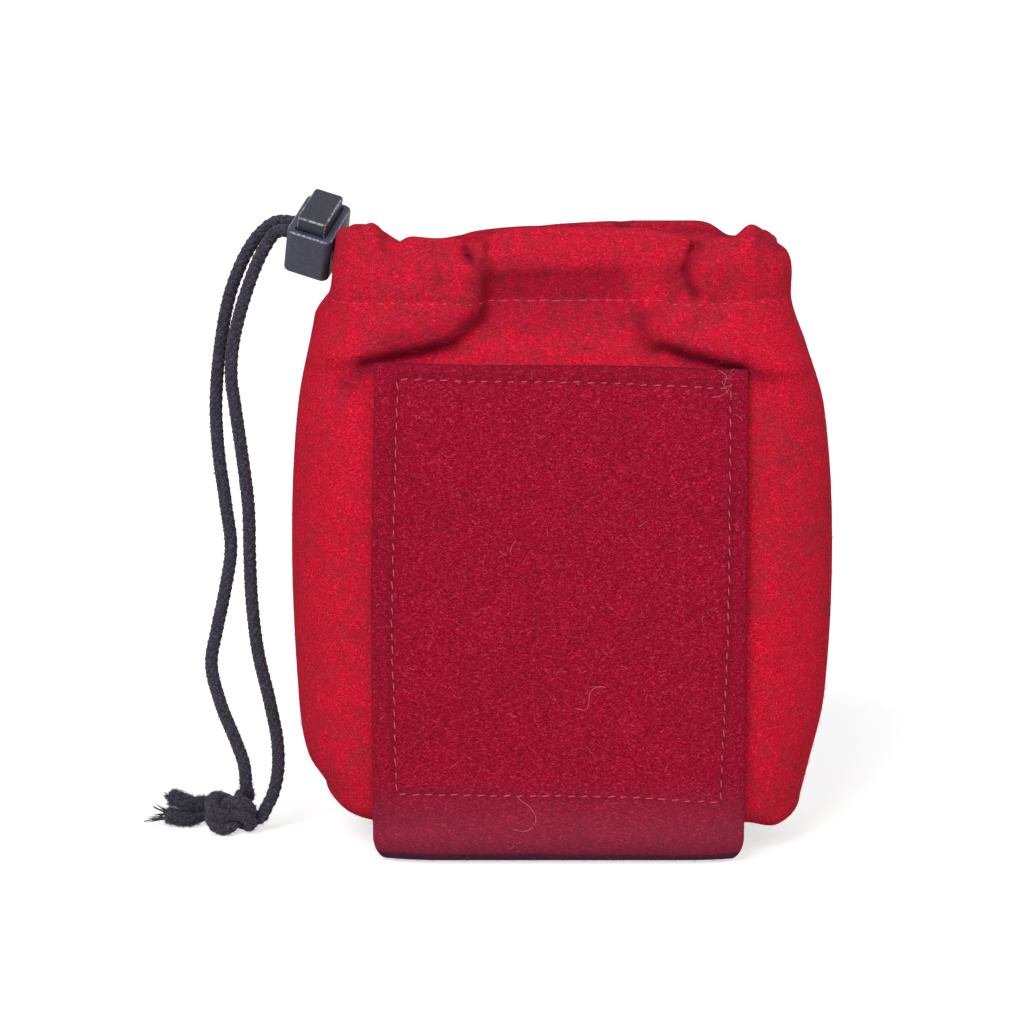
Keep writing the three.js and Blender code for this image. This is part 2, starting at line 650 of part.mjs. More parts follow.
function knotSolid() {
  const rearEntry = [[3.5, 0.3, 7.95], [3.5, 0.35, 6.9], [3.7, 1.3, 4.9], [3.9, 3.4, 3.2], [3.3, 4.9, 1.9]];
  const frontEntry = [
    [7.97, 0.01, 0.08], [7.45, 0.05, -0.95], [6.1, 1.4, -2.2], [4.8, 3.5, -2.2], [3.3, 4.9, -1.7],
  ];
  let solid = null;
  for (const points of [knotStrand(KNOT_STACK, rearEntry), knotStrand(-KNOT_STACK, frontEntry)]) {
    const quarter = Math.ceil(points.length / 4);
    for (let from = 0; from < points.length - 1; from += quarter) {
      const piece = routeCurve(points.slice(from, from + quarter + 1));
      const steps = Math.min(quarter, points.length - 1 - from);
      const part = toSolid(tube(piece, CORD_RADIUS, CORD_SIDES, steps));
      solid = solid ? solid.add(part) : part;
    }
  }
  return toGeometry(solid);
}

const UPPER_END_ROUTE = [
  [-85.2, 8.22, 6.1], [-86.4, 8.2, 5.8], [-88.4, 8.2, 5.7], [-91.0, 8.3, 6.5], [-93.6, 8.4, 7.6],
];
const LOWER_END_ROUTE = [
  [-85.08, 8.22, 3.07], [-86.3, 8.2, 2.7], [-88.4, 8.1, 2.1], [-91.2, 8.1, 2.2], [-94.6, 8.2, 2.9],
];

// The felt strip folds under the pouch and lies on both faces of the cloth
function feltPath(x, layer) {
  const wallOffset = FELT_SEAT + layer * FELT_THICKNESS;
  const baseOffset = GAP + layer * FELT_THICKNESS;
  const heights = [FELT_TOP, ...WALL_HEIGHTS.filter((height) => height < FELT_TOP).reverse()];
  const wall = (half) => heights.map((height) => {
    const p = clothPoint(half, columnAt(half, x, height), height, -wallOffset, height);
    return new THREE.Vector3(x, p.y, height);
  });
  const fold = (half) => [0, 1, 2, 3, 4].map((step) => {
    const angle = step / 4 * Math.PI / 2;
    const inset = BASE_FOLD_RADIUS - (BASE_FOLD_RADIUS + wallOffset) * Math.cos(angle);
    const p = clothPoint(half, columnAt(half, x, FOLD_HEIGHT), FOLD_HEIGHT, inset, 0);
    return new THREE.Vector3(x, p.y, FOLD_HEIGHT - (BASE_FOLD_RADIUS + baseOffset) * Math.sin(angle));
  });
  const middle = new THREE.Vector3(x, 0, BASE_HEIGHT - baseOffset);
  return [...wall(FRONT), ...fold(FRONT), middle, ...fold(BACK).reverse(), ...wall(BACK).reverse()];
}

// The column of the cloth that passes a given x at a height
function columnAt(half, x, height) {
  const onLeft = x < 0;
  const endRound = profileAt(END_ROUND, height);
  const flat = sideReach(half, onLeft, height) - endRound;
  const reach = Math.abs(x);
  if (reach <= flat) return Math.sign(x) * reach / flat * FLAT_SHARE;
  const angle = Math.asin(Math.min(1, (reach - flat) / endRound) ** (SECTION_POWER / 2));
  return Math.sign(x) * (FLAT_SHARE + (1 - FLAT_SHARE) * angle / (Math.PI / 2));
}

function feltWrap() {
  const columns = [];
  for (let i = 0; i <= 14; i += 1) {
    const x = FELT_WIDTH * (i / 14 - 0.5);
    columns.push([...feltPath(x, 1), ...feltPath(x, 0).reverse()]);
  }
  return sweep([columns], 'y', 'z');
}

function clothHalf(half) {
  const along = (stations) => sweepColumns().map((column) => stations.map(
    ([height, inset, z]) => clothPoint(half, column, height, inset, z),
  ));
  const shell = sweep([along(skinStations()), along(channelStations())], 'x', 'z');
  const slit = slotBar(
    CORD_PITCH + CORD_DIAMETER + 2 * GAP,
    CORD_HEIGHT_IN_LOCK - CORD_RADIUS - GAP,
    CORD_HEIGHT_IN_LOCK + CORD_RADIUS + GAP,
    SLIT_LENGTH,
    SLIT_MIDDLE,
  );
  slit.applyMatrix4(lock.matrix);
  return toGeometry(toSolid(shell).subtract(toSolid(slit)));
}

place('front_body', clothHalf(FRONT), red);
place('back_body', clothHalf(BACK), red);
place('felt_wrap', feltWrap(), crimson);
place('drawstring_loop', cordTube(channelRoute(), LOOP_STEP), black);
place('cord_tail_rear', cordTube(tailRoute(1, REAR_TAIL_ROUTE)), black);
place('cord_tail_front', cordTube(tailRoute(-1, FRONT_TAIL_ROUTE)), black);
place('cord_knot', knotSolid(), black);
place('cord_end_upper', cordTube(toVectors(UPPER_END_ROUTE)), black);
place('cord_end_lower', cordTube(toVectors(LOWER_END_ROUTE)), black);
place('lock_housing', lockHousing(), plastic, lock);
place('lock_plunger', lockPlunger(), plastic, lock);
place('lock_spring', lockSpring(), steel, lock);

export default pouch;
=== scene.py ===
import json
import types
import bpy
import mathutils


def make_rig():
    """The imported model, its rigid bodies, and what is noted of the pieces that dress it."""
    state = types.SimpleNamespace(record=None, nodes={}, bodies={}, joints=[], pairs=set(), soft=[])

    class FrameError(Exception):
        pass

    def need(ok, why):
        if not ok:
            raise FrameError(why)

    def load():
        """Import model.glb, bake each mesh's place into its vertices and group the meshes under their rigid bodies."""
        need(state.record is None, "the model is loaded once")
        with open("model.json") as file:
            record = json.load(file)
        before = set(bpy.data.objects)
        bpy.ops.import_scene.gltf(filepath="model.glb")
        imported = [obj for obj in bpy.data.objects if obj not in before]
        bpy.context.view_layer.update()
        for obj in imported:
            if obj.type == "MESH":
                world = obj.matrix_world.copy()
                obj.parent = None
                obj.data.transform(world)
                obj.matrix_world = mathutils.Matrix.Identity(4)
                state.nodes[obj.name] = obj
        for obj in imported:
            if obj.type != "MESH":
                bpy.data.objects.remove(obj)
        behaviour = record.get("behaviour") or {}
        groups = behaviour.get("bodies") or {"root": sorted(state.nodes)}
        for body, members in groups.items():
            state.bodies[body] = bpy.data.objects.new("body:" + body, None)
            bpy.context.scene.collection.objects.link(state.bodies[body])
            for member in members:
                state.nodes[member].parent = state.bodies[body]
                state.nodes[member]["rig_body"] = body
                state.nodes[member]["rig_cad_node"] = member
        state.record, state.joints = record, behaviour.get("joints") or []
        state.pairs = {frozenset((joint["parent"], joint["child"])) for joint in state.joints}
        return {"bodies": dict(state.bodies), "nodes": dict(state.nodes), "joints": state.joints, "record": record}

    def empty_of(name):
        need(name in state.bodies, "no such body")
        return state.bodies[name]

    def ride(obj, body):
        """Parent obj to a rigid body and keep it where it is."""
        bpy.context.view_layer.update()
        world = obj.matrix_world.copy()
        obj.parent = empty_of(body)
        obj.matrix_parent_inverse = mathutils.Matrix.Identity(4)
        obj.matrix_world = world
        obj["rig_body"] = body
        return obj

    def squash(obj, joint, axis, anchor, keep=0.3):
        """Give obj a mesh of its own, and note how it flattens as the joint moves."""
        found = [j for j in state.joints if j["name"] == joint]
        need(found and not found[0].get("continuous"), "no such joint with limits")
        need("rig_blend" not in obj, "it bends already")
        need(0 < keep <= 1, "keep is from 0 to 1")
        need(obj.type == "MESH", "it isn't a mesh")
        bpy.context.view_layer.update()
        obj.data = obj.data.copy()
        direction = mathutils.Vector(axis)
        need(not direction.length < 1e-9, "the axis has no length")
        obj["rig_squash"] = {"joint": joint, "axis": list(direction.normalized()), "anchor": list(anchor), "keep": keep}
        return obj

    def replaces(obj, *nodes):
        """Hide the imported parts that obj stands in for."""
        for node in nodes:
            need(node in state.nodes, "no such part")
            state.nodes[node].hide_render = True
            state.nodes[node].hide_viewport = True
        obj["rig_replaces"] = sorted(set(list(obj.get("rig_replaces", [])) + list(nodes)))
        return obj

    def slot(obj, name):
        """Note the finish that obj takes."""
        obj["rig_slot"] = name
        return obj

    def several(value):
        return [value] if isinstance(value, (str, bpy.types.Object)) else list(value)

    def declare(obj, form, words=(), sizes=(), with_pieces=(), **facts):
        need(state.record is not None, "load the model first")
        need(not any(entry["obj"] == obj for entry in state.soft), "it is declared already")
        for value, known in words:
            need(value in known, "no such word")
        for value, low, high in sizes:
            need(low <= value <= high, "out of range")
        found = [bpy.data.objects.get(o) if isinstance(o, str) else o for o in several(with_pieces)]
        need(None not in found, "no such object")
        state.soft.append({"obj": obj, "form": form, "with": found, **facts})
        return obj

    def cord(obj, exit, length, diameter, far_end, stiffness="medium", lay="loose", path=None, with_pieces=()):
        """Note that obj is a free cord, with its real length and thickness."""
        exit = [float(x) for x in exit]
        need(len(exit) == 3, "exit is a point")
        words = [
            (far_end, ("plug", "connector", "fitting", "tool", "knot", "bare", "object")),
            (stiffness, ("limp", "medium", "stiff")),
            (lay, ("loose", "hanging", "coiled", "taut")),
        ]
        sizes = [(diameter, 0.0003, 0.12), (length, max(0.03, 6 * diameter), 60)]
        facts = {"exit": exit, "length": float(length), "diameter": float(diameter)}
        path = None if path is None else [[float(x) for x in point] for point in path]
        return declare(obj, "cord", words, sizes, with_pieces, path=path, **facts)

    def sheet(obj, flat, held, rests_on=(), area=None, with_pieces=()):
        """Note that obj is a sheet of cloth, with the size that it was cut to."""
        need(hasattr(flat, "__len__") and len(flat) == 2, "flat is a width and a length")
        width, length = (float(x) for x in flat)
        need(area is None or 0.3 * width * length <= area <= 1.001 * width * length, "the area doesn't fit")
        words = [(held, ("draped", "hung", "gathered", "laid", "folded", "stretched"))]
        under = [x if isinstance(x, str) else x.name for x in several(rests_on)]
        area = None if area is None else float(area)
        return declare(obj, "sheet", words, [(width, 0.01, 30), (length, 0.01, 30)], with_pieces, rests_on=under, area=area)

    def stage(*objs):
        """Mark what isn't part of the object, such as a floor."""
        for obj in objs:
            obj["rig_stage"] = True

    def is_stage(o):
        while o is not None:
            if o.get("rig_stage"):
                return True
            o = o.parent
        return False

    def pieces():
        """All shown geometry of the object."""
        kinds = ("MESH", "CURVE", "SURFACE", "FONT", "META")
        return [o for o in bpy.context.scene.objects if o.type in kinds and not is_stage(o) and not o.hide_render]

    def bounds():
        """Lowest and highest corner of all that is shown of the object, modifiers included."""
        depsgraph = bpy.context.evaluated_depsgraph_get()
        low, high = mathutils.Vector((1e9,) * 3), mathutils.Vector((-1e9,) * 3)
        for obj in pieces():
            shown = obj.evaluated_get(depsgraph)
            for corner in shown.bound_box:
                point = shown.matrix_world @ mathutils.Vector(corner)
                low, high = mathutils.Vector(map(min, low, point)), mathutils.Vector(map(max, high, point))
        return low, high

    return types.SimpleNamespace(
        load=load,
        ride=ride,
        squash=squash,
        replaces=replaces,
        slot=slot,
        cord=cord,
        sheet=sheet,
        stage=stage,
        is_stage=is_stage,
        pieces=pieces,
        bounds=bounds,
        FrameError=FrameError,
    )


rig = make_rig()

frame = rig.load()
CAD_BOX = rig.bounds()

import json
import math

import bmesh
import bpy
import numpy as np
from bpy.props import FloatProperty, FloatVectorProperty, IntProperty, PointerProperty
from mathutils import Matrix, Vector
from mathutils.geometry import tessellate_polygon

bl_info = {
    "name": "Drawstring Pouch",
    "version": (1, 0, 0),
    "blender": (4, 5, 0),
    "location": "View3D > Sidebar > Pouch",
    "description": "Builds a stuffed wool pouch with a felt strip, a braided cord and a cord lock",
    "category": "Object",
}

# Shapes are worked out in millimetres, and meshes are in metres.
MM = 0.001
# The frame's origin lies under the middle of the pouch, which bulges more on its right.
BULGE_SHIFT = 0.95

# Sizes of the part, repeated
GAP = 0.3
CLOTH = 2.0
SEAM_GAP = 0.3
FELT_THICKNESS = 3.0
FELT_WIDTH = 87.0
FELT_SEAT = 0.7
RIM_HEIGHT = 148.4
RIM_FOLD_RADIUS = 2.0
HEM_PLY = 1.5
HEM_TAIL = 1.6
MOUTH_LEFT = 54.0
BASE_FOLD_RADIUS = 6.0
BASE_LIFT = 4.9
CORNER_SAG = 2.8
LEFT_CORNER_LIFT = 4.2
SECTION_POWER = 2.2
FLAT_SHARE = 0.56
LEFT_ROOM = 2.2
BASE_HEIGHT = FELT_THICKNESS + GAP
FOLD_HEIGHT = BASE_HEIGHT + BASE_FOLD_RADIUS
CHANNEL_STITCH = RIM_HEIGHT - 15.9
CORD_LEVEL = RIM_HEIGHT - 7.9
CHANNEL_DEPTH = 4.5
RIM_ROLL_CENTRE = RIM_HEIGHT - RIM_FOLD_RADIUS
CHANNEL_LOW = CHANNEL_STITCH + 1.5
CHANNEL_HIGH = (CORD_LEVEL + RIM_ROLL_CENTRE) / 2
CHANNEL_TOP = RIM_ROLL_CENTRE - 0.8
FELT_TOP = CHANNEL_STITCH - 14.1

# How far the front's flat middle is set back, how high the ridge along it stands, and how deep the hem's
# seam pulls
PLEAT_DEPTH = 4.6
PLEAT_RIDGE = 2.3
STITCH_DENT = 0.45
# Above this height the cloth has closer rows of points.
GATHER_LEVEL = 108
# Millimetres at the felt's top edge are turned into shares of its wall by this length, which is a little
# over the wall's own. The edge is rounded off over TOP_ROUNDING, and SECTION_POINTS lie across the strip.
FELT_WALL = 118
TOP_ROUNDING = 1.2
SECTION_POINTS = 120
# How far the felt's corners are drawn in under the base
FOLD_CORNER_PULL = 2.2
# A stitch's thickness from end to end, as shares
STITCH_TAPER = [0.55, 0.85, 1, 1, 1, 0.85, 0.55]
# No nap stands this near the lock.
NAP_FREE_RADIUS = 20

# The photograph's camera: its aim in metres, its sensor in millimetres, and the rest in pixels
CAMERA_AIM = (-0.01186, 0, 0.07969)
SENSOR_WIDTH = 36
FOCAL_PIXELS = 4642
FRAME_PIXELS = 1024
# The backdrop: half the floor's side, the floor's own glow and the sky's light
FLOOR_REACH = 9000
FLOOR_GLOW = 0.66
SKY_LIGHT = 0.36


def body_at(share):
    """Height on the stuffed body: from 0 where the base curves up to 1 at the stitch line."""
    return FOLD_HEIGHT + share * (CHANNEL_STITCH - FOLD_HEIGHT)


def outline(shares, size):
    """(height, size) pairs from shares of the body's height and of a size."""
    return [(body_at(height), share * size) for height, share in shares]


LEFT_SIDE = outline(
    [(0, 0.88), (0.07, 0.946), (0.22, 0.981), (0.52, 1), (0.78, 0.973), (0.955, 0.908)], 63.1
) + [(CORD_LEVEL, MOUTH_LEFT + 1.4), (RIM_HEIGHT, MOUTH_LEFT)]
RIGHT_SIDE = outline(
    [(0, 0.894), (0.07, 0.923), (0.22, 0.979), (0.52, 1), (0.78, 0.964), (0.9, 0.897), (0.985, 0.842)],
    65.0,
) + [(CORD_LEVEL, 54.3), (RIM_HEIGHT, 50)]
HALF_DEPTH = outline(
    [(0, 0.985), (0.17, 1), (0.41, 1), (0.655, 0.918), (0.82, 0.79), (0.94, 0.62)], 25.5
) + [(CHANNEL_STITCH, 13.6), (CORD_LEVEL, 12.8), (RIM_HEIGHT, 9.6)]
END_ROUND = [
    (body_at(0), 29), (body_at(0.41), 33), (body_at(0.78), 26), (body_at(0.94), 18),
    (CORD_LEVEL, 11), (RIM_HEIGHT, 9),
]

# Each wave of the rim is (middle, half-width, lift)
FRONT = {
    "side": -1, "shallower": 0.0, "left_shorter": 0.0, "left_notch": 4.6,
    "waves": [
        (-43.4, 2.8, 1.9), (-38.3, 2.6, -2.5), (-29, 8, -1.8), (-18.5, 5, -2.4),
        (26, 5, -1), (32.5, 4.5, -2.6), (40, 2.8, -1.6), (44.6, 3, 1.6), (53, 5, -3.2),
    ],
}
BACK = {
    "side": 1, "shallower": 1.2, "left_shorter": 5.5, "left_notch": 1.2, "cord_dip": 1.9,
    "waves": [
        (-36, 6.3, -4.8), (-27, 5, -1.5), (-24, 10, -2), (-9, 15, -1.25),
        (40.6, 4.2, -3), (46.5, 5, -1.9), (53, 6, -1.4),
    ],
}

# Where the front's set-back middle ends, as (x, height) round the trapezoid between the gathers
PLEAT_OUTLINE = [
    (-17, 152), (-17, 141), (-17.4, 131), (-18.3, 127.3), (-21.3, 123.7), (-25.2, 121.4), (-29.8, 120),
    (-34.5, 118.9), (-45.2, 117), (-60, 115.4), (-60, 100), (62, 100), (62, 110), (42.2, 115.2),
    (34.4, 117.4), (27.9, 119.4), (20.9, 122.1), (18.4, 124.8), (19, 128), (25.2, 132.2), (29.4, 136),
    (30.2, 142), (33.2, 148), (34, 152),
]
# Sharp creases: (points, half-width, depth)
FRONT_CREASES = [
    ([(-17, 137.5), (-17, 130)], 1.2, 0.9),
    ([(-18.8, 127.4), (-21.5, 124.4), (-25.2, 122.3), (-29.8, 120.9), (-34.5, 119.8), (-45, 117.9)],
     2.1, 2.4),
    ([(34.2, 150.5), (31.8, 146), (30.4, 142.4), (29.5, 139.2), (30.2, 136), (31.8, 133.8)], 0.95, 2.6),
    ([(24.4, 121.4), (31.3, 119.1), (37.6, 117.3), (42, 116.4)], 2.1, 2.2),
    ([(-40.6, 150), (-39.8, 145)], 1.5, 1.2),
]
# Painted shade where the folds of the front keep the light out: (points, half-width, share of shade)
FRONT_PAINTED_SHADE = [
    ([(-22, 144.6), (-20.9, 143.2), (-20.4, 142.2)], 1.2, 0.7),
    ([(-15.6, 135), (-7, 134.8), (13, 135.6)], 3.6, 0.5),
    ([(-13, 128), (14, 128.6)], 4.2, 0.2),
    ([(-19, 128.6), (-24, 126), (-30, 124.2), (-39, 122.2)], 3.6, 0.42),
    ([(-25, 122.6), (-34.5, 120.2), (-45, 118.4)], 2.0, 0.45),
    ([(-45, 117.5), (-49, 114)], 2.6, 0.34),
    ([(34.4, 150.4), (33, 148.4), (31.2, 145), (30, 142), (29.1, 139.2), (30, 136), (31.4, 133.9)],
     0.95, 0.55),
    ([(27.5, 139), (26, 136)], 2.6, 0.18),
    ([(18.5, 129), (20.9, 124.4), (27, 122), (34, 120.2), (42, 118.6)], 2.7, 0.34),
    ([(27, 120.8), (33, 118.8), (42, 117)], 1.4, 0.5),
    ([(43, 118), (47.5, 115.5)], 2.2, 0.36),
    ([(46.6, 150), (47.2, 140)], 1.5, 0.18),
]
# Soft swellings and hollows of the front: (x, height, half-width, half-height, outward)
FRONT_SWELLS = [
    (-21.3, 143.6, 1.35, 1.5, -3.2), (-8, 136.4, 9, 2.3, -1.7), (9, 137.2, 9, 2.1, -1.3),
    (-8, 143.6, 9, 2.6, 0.9), (12, 144, 12, 3, 0.5), (-31, 134, 8, 7, 1.4), (-45, 131, 6, 8, 0.9),
    (-27, 141, 4, 4, 1.1),
    (-38, 139.5, 2.6, 8, -0.7), (38, 141, 6, 6, 1.3), (37, 127, 8, 4.5, 1.6), (25, 131, 3.6, 3.4, 0.9),
    (-35, 147, 3, 2.5, 0.6), (3, 123, 24, 3.2, 1.5), (46, 134, 4, 9, -0.6), (-52, 138, 3, 6, -0.5),
]
BACK_CREASES = [
    ([(-36, 150), (-35, 140), (-31, 128), (-29.5, 119)], 1.8, 1.5),
    ([(-22, 150), (-23.5, 141), (-22, 130)], 1.5, 1.2),
    ([(-4, 149), (-5, 140), (-9, 127), (-10, 120)], 2.0, 1.1),
    ([(14, 150), (16, 141), (15, 131)], 1.5, 1.1),
    ([(39.8, 149), (37, 139), (32, 127), (29, 119.5)], 1.9, 1.6),
]
BACK_SWELLS = [
    (-44, 135, 6, 8, 0.8), (-28, 138, 4.5, 7, 0.9), (-14, 137, 6, 8, 1.0), (5, 138, 7, 9, 1.0),
    (26, 137, 8, 8, 1.1), (-20, 124, 10, 5, 0.5), (18, 124, 10, 5, 0.6),
]

# Curls of lint on the front panel, as (x, height)
LINT = [
    [(40.4, 119), (39.1, 117.7), (40, 116.4), (38.4, 116.8), (37.4, 115.7), (39, 114.8), (40, 115.7),
     (38.6, 113.7), (37, 112.8), (34.9, 112.4)],
    [(36.6, 118.6), (38.6, 117.3), (37.9, 115), (39, 113.3)],
    [(-10, 18.3), (-8.8, 17), (-7.2, 15.8), (-5.8, 14.1), (-5.3, 12.4), (-6, 10.5), (-7.9, 9.5), (-10.7, 10)],
    [(10.8, 44.3), (9.5, 44.6), (8.2, 44.1), (7.3, 43.3), (7.1, 42.2), (6.8, 39.8), (6.4, 38.8),
     (5.1, 39), (3.7, 39.2)],
    [(-10, 79), (-10.9, 77.6), (-11.4, 76.2)],
    [(-13.7, 76.5), (-13, 75.8), (-12.1, 75.5)],
]

# Sides of the sewn rectangle, as (x, height), clockwise from the top left
STITCH_SIDES = [
    [(-37.3, 115.1), (0.2, 115.1), (39.5, 114.4)], [(39.5, 114.4), (39.3, 60), (37.8, 16.3)],
    [(37.8, 16.3), (14.3, 17.8), (-38, 18.3)], [(-38, 18.3), (-38.8, 60), (-37.3, 115.1)],
]
STITCH_CORNERS = [point for side in STITCH_SIDES for point in side[:-1]]

# The lock's axes: along the cords, across them, and the button's
LOCK_AXES = np.array([
    (0.9371632, -0.2280337, -0.2640564),
    (0.3317519, 0.8167356, 0.4721054),
    (0.1080084, -0.5300411, 0.8410652),
])
LOCK_SIZE = (11.2, 15.2, 12.3)
PLUNGER_SIZE = (7.2, 12.0, 11.6)
# Above the housing's underside
PLUNGER_TOP = 15.9
LOCK_ENTRY = np.array((2.8 - MOUTH_LEFT, 0.15, CORD_LEVEL + 3.7))
CORD_HEIGHT_IN_LOCK = 7.05
CORD_PITCH = 3.5
LOCK_ORIGIN = LOCK_ENTRY - LOCK_AXES[0] * LOCK_SIZE[0] / 2 - LOCK_AXES[2] * CORD_HEIGHT_IN_LOCK
EXIT_ALONG = 7.2
SPRING_WIRE = 0.35
SPRING_RADIUS = 2.3
SPRING_TURNS = 3
SPRING_ENDS = (1.15, 4.25)
PRESS = 2.2

REAR_TAIL_ROUTE = [
    (-66.6, 6.7, 148), (-70.5, 7.5, 144.9), (-73.6, 7.6, 140.4), (-75.9, 7.4, 135.4), (-77.9, 7.1, 129.4),
    (-80.1, 6.6, 117.2), (-81.1, 6.1, 104.6), (-80.6, 5.5, 93), (-79, 5, 80.4), (-77.9, 4.7, 70),
    (-79.4, 4.4, 59.8), (-81.5, 4.1, 50), (-82.9, 3.9, 41.6), (-80.8, 3.7, 32), (-77, 3.5, 22),
    (-75.5, 3.5, 17.5), (-75.1, 3.5, 15), (-75, 3.5, 13.5),
]
FRONT_TAIL_ROUTE = [
    (-66.3, 2.7, 146.15), (-69.1, 3.08, 142.3), (-71.5, 3.2, 137.2), (-73.3, 3.2, 132.3), (-75, 3.1, 126.8),
    (-76.7, 2.9, 119.4), (-77.2, 2.7, 111.6), (-76.4, 2.6, 104.8), (-74.9, 2.4, 93.4), (-73.5, 2.3, 80.6),
    (-73.3, 2.2, 68), (-72.9, 2.2, 57.2), (-71.6, 2.4, 45), (-68.9, 2.6, 32.4), (-67.2, 2.8, 22.4),
    (-67.3, 3, 14.6), (-68.6, 3.1, 9.2), (-69.7, 3.16, 7), (-70.4, 3.2, 5.6),
]
KNOT_CENTRE = np.array((-78.5, 3.2, 5.25))
KNOT_SPREAD = 1.7
KNOT_HEIGHT = 1.8
KNOT_STACK = 1.5
REAR_KNOT_ENTRY = [(3.5, 0.3, 7.95), (3.5, 0.35, 6.9), (3.7, 1.3, 4.9), (3.9, 3.4, 3.2), (3.3, 4.9, 1.9)]
FRONT_KNOT_ENTRY = [
    (7.97, 0.01, 0.08), (7.45, 0.05, -0.95), (6.1, 1.4, -2.2), (4.8, 3.5, -2.2), (3.3, 4.9, -1.7),
]
UPPER_END_ROUTE = [
    (-85.2, 8.22, 6.1), (-86.4, 8.2, 5.8), (-88.4, 8.2, 5.7), (-91, 8.3, 6.5), (-93.6, 8.4, 7.6),
]
LOWER_END_ROUTE = [
    (-85.08, 8.22, 3.07), (-86.3, 8.2, 2.7), (-88.4, 8.1, 2.1), (-91.2, 8.1, 2.2), (-94.6, 8.2, 2.9),
]


# ---- Settings ----


def colour_prop(name, description, default):
    return FloatVectorProperty(
        name=name, description=description, default=default, subtype="COLOR", min=0, max=1,
    )


def length_prop(name, description, default):
    return FloatProperty(
        name=name, description=description, default=default, unit="LENGTH", subtype="DISTANCE",
    )


class PouchCloth(bpy.types.PropertyGroup):
    colour: colour_prop("Colour", "Colour of the wool's brightest fibres", (0.86, 0.010, 0.042))
    shade: colour_prop("Shade", "Colour of the wool's deeper fibres", (0.47, 0.004, 0.021))
    # This colours the wool's duller patches, and also the painted shade that darkens the wool towards the mouth.
    dusk_and_top_shade: colour_prop("Dusk", "Colour of the wool's duller patches", (0.33, 0.022, 0.038))
    # Deep is the colour of the painted shade in the folds, mixed in by the cloth's shade attribute.
    deep: colour_prop("Deep", "Colour of the dull nap in the folds", (0.07, 0.002, 0.018))
    dark_fibre: colour_prop(
        "Dark fibre", "Colour of the dark fibres spun into the wool", (0.13, 0.016, 0.026)
    )
    pale_fibre: colour_prop("Pale fibre", "Colour of the loose hairs on the wool", (0.86, 0.085, 0.135))
    fuzz: IntProperty(name="Fuzz", description="Number of loose hairs on each half", default=2600, min=0)
    fibre: length_prop("Fibre", "Thickness of a loose hair", 0.00005)
    wrinkle: length_prop("Wrinkle", "Depth of the soft wrinkles all over", 0.0003)


class PouchFelt(bpy.types.PropertyGroup):
    colour: colour_prop("Colour", "Colour of the felt's brightest fibres", (0.43, 0.008, 0.034))
    shade: colour_prop("Shade", "Colour of the felt's deeper fibres", (0.25, 0.0015, 0.016))
    dark_fibre: colour_prop("Dark fibre", "Colour of the dark fibres in the felt", (0.11, 0.006, 0.019))
    pale_fibre: colour_prop("Pale fibre", "Colour of the loose hairs on the felt", (0.58, 0.055, 0.105))
    thread: colour_prop("Thread", "Colour of the sewing thread", (0.70, 0.085, 0.15))
    stitch: length_prop("Stitch", "Length of one stitch", 0.0019)
    pitch: length_prop("Pitch", "From one stitch to the next", 0.00305)
    fuzz: IntProperty(name="Fuzz", description="Number of loose hairs on the felt", default=3200, min=0)


class PouchCord(bpy.types.PropertyGroup):
    colour: colour_prop("Colour", "Colour of the braided cord", (0.034, 0.031, 0.045))
    diameter: length_prop("Diameter", "Thickness of the cord", 0.003)
    strands: IntProperty(name="Strands", description="Braid strands that wind each way", default=6, min=3)
    braid: length_prop("Braid", "Length of one turn of a strand", 0.012)


class PouchLock(bpy.types.PropertyGroup):
    colour: colour_prop("Colour", "Colour of the moulded plastic", (0.038, 0.039, 0.069))
    # The colour of the rubbed edges, which also paints the highlight on the lock's edges.
    wear_and_glint: colour_prop("Worn", "Colour of the rubbed edges", (0.46, 0.46, 0.54))


class PouchStage(bpy.types.PropertyGroup):
    distance: length_prop("Distance", "From the camera to the pouch", 1.1)
    elevation: FloatProperty(
        name="Elevation", description="Camera's angle above the horizon", default=math.radians(12),
        unit="ROTATION", subtype="ANGLE",
    )
    floor: colour_prop("Floor", "Colour of the floor", (0.6, 0.6, 0.6))


# ---- Curves and cloth ----


def rise(value, start, end):
    """Smooth step from 0 at start to 1 at end: 3t^2 - 2t^3."""
    t = np.clip((value - start) / (end - start), 0, 1)
    return t * t * (3 - 2 * t)


def bump(value, middle, width):
    """Bell of height 1: e to the minus ((value - middle) / width) squared."""
    return np.exp(-(((value - middle) / width) ** 2))


def hermite(t, start, end, slope_start, slope_end):
    """Cubic from start to end as t runs from 0 to 1, with the given slopes at its ends."""
    return (
        (2 * t**3 - 3 * t**2 + 1) * start + (t**3 - 2 * t**2 + t) * slope_start
        + (3 * t**2 - 2 * t**3) * end + (t**3 - t**2) * slope_end
    )


def profile(pairs, height):
    """Value at a height on the cubic curve through (height, value) pairs, whose slope at a pair is that
    of the line between its two neighbours."""
    h, v = np.array(pairs, float).T
    i = np.searchsorted(h[1:-1], height, side="left")
    before, after = np.maximum(i - 1, 0), np.minimum(i + 2, len(h) - 1)
    span = h[i + 1] - h[i]
    slope0 = (v[i + 1] - v[before]) / (h[i + 1] - h[before])
    slope1 = (v[after] - v[i]) / (h[after] - h[i])
    t = np.clip((height - h[i]) / span, 0, 1)
    return hermite(t, v[i], v[i + 1], span * slope0, span * slope1)


def gathered(height):
    """How far the gathers of the mouth have taken hold."""
    return rise(height, CHANNEL_STITCH - 20.5, CHANNEL_STITCH + 3.5)


def line_distance(x, z, points):
    """Distance from each (x, z) to a chain of straight lines."""
    p = np.stack(np.broadcast_arrays(x, z), -1)
    best = np.full(p.shape[:-1], np.inf)
    for a, b in zip(np.array(points, float)[:-1], np.array(points, float)[1:]):
        d = b - a
        t = np.clip(((p - a) @ d) / (d @ d), 0, 1)[..., None]
        best = np.minimum(best, np.linalg.norm(p - a - t * d, axis=-1))
    return best


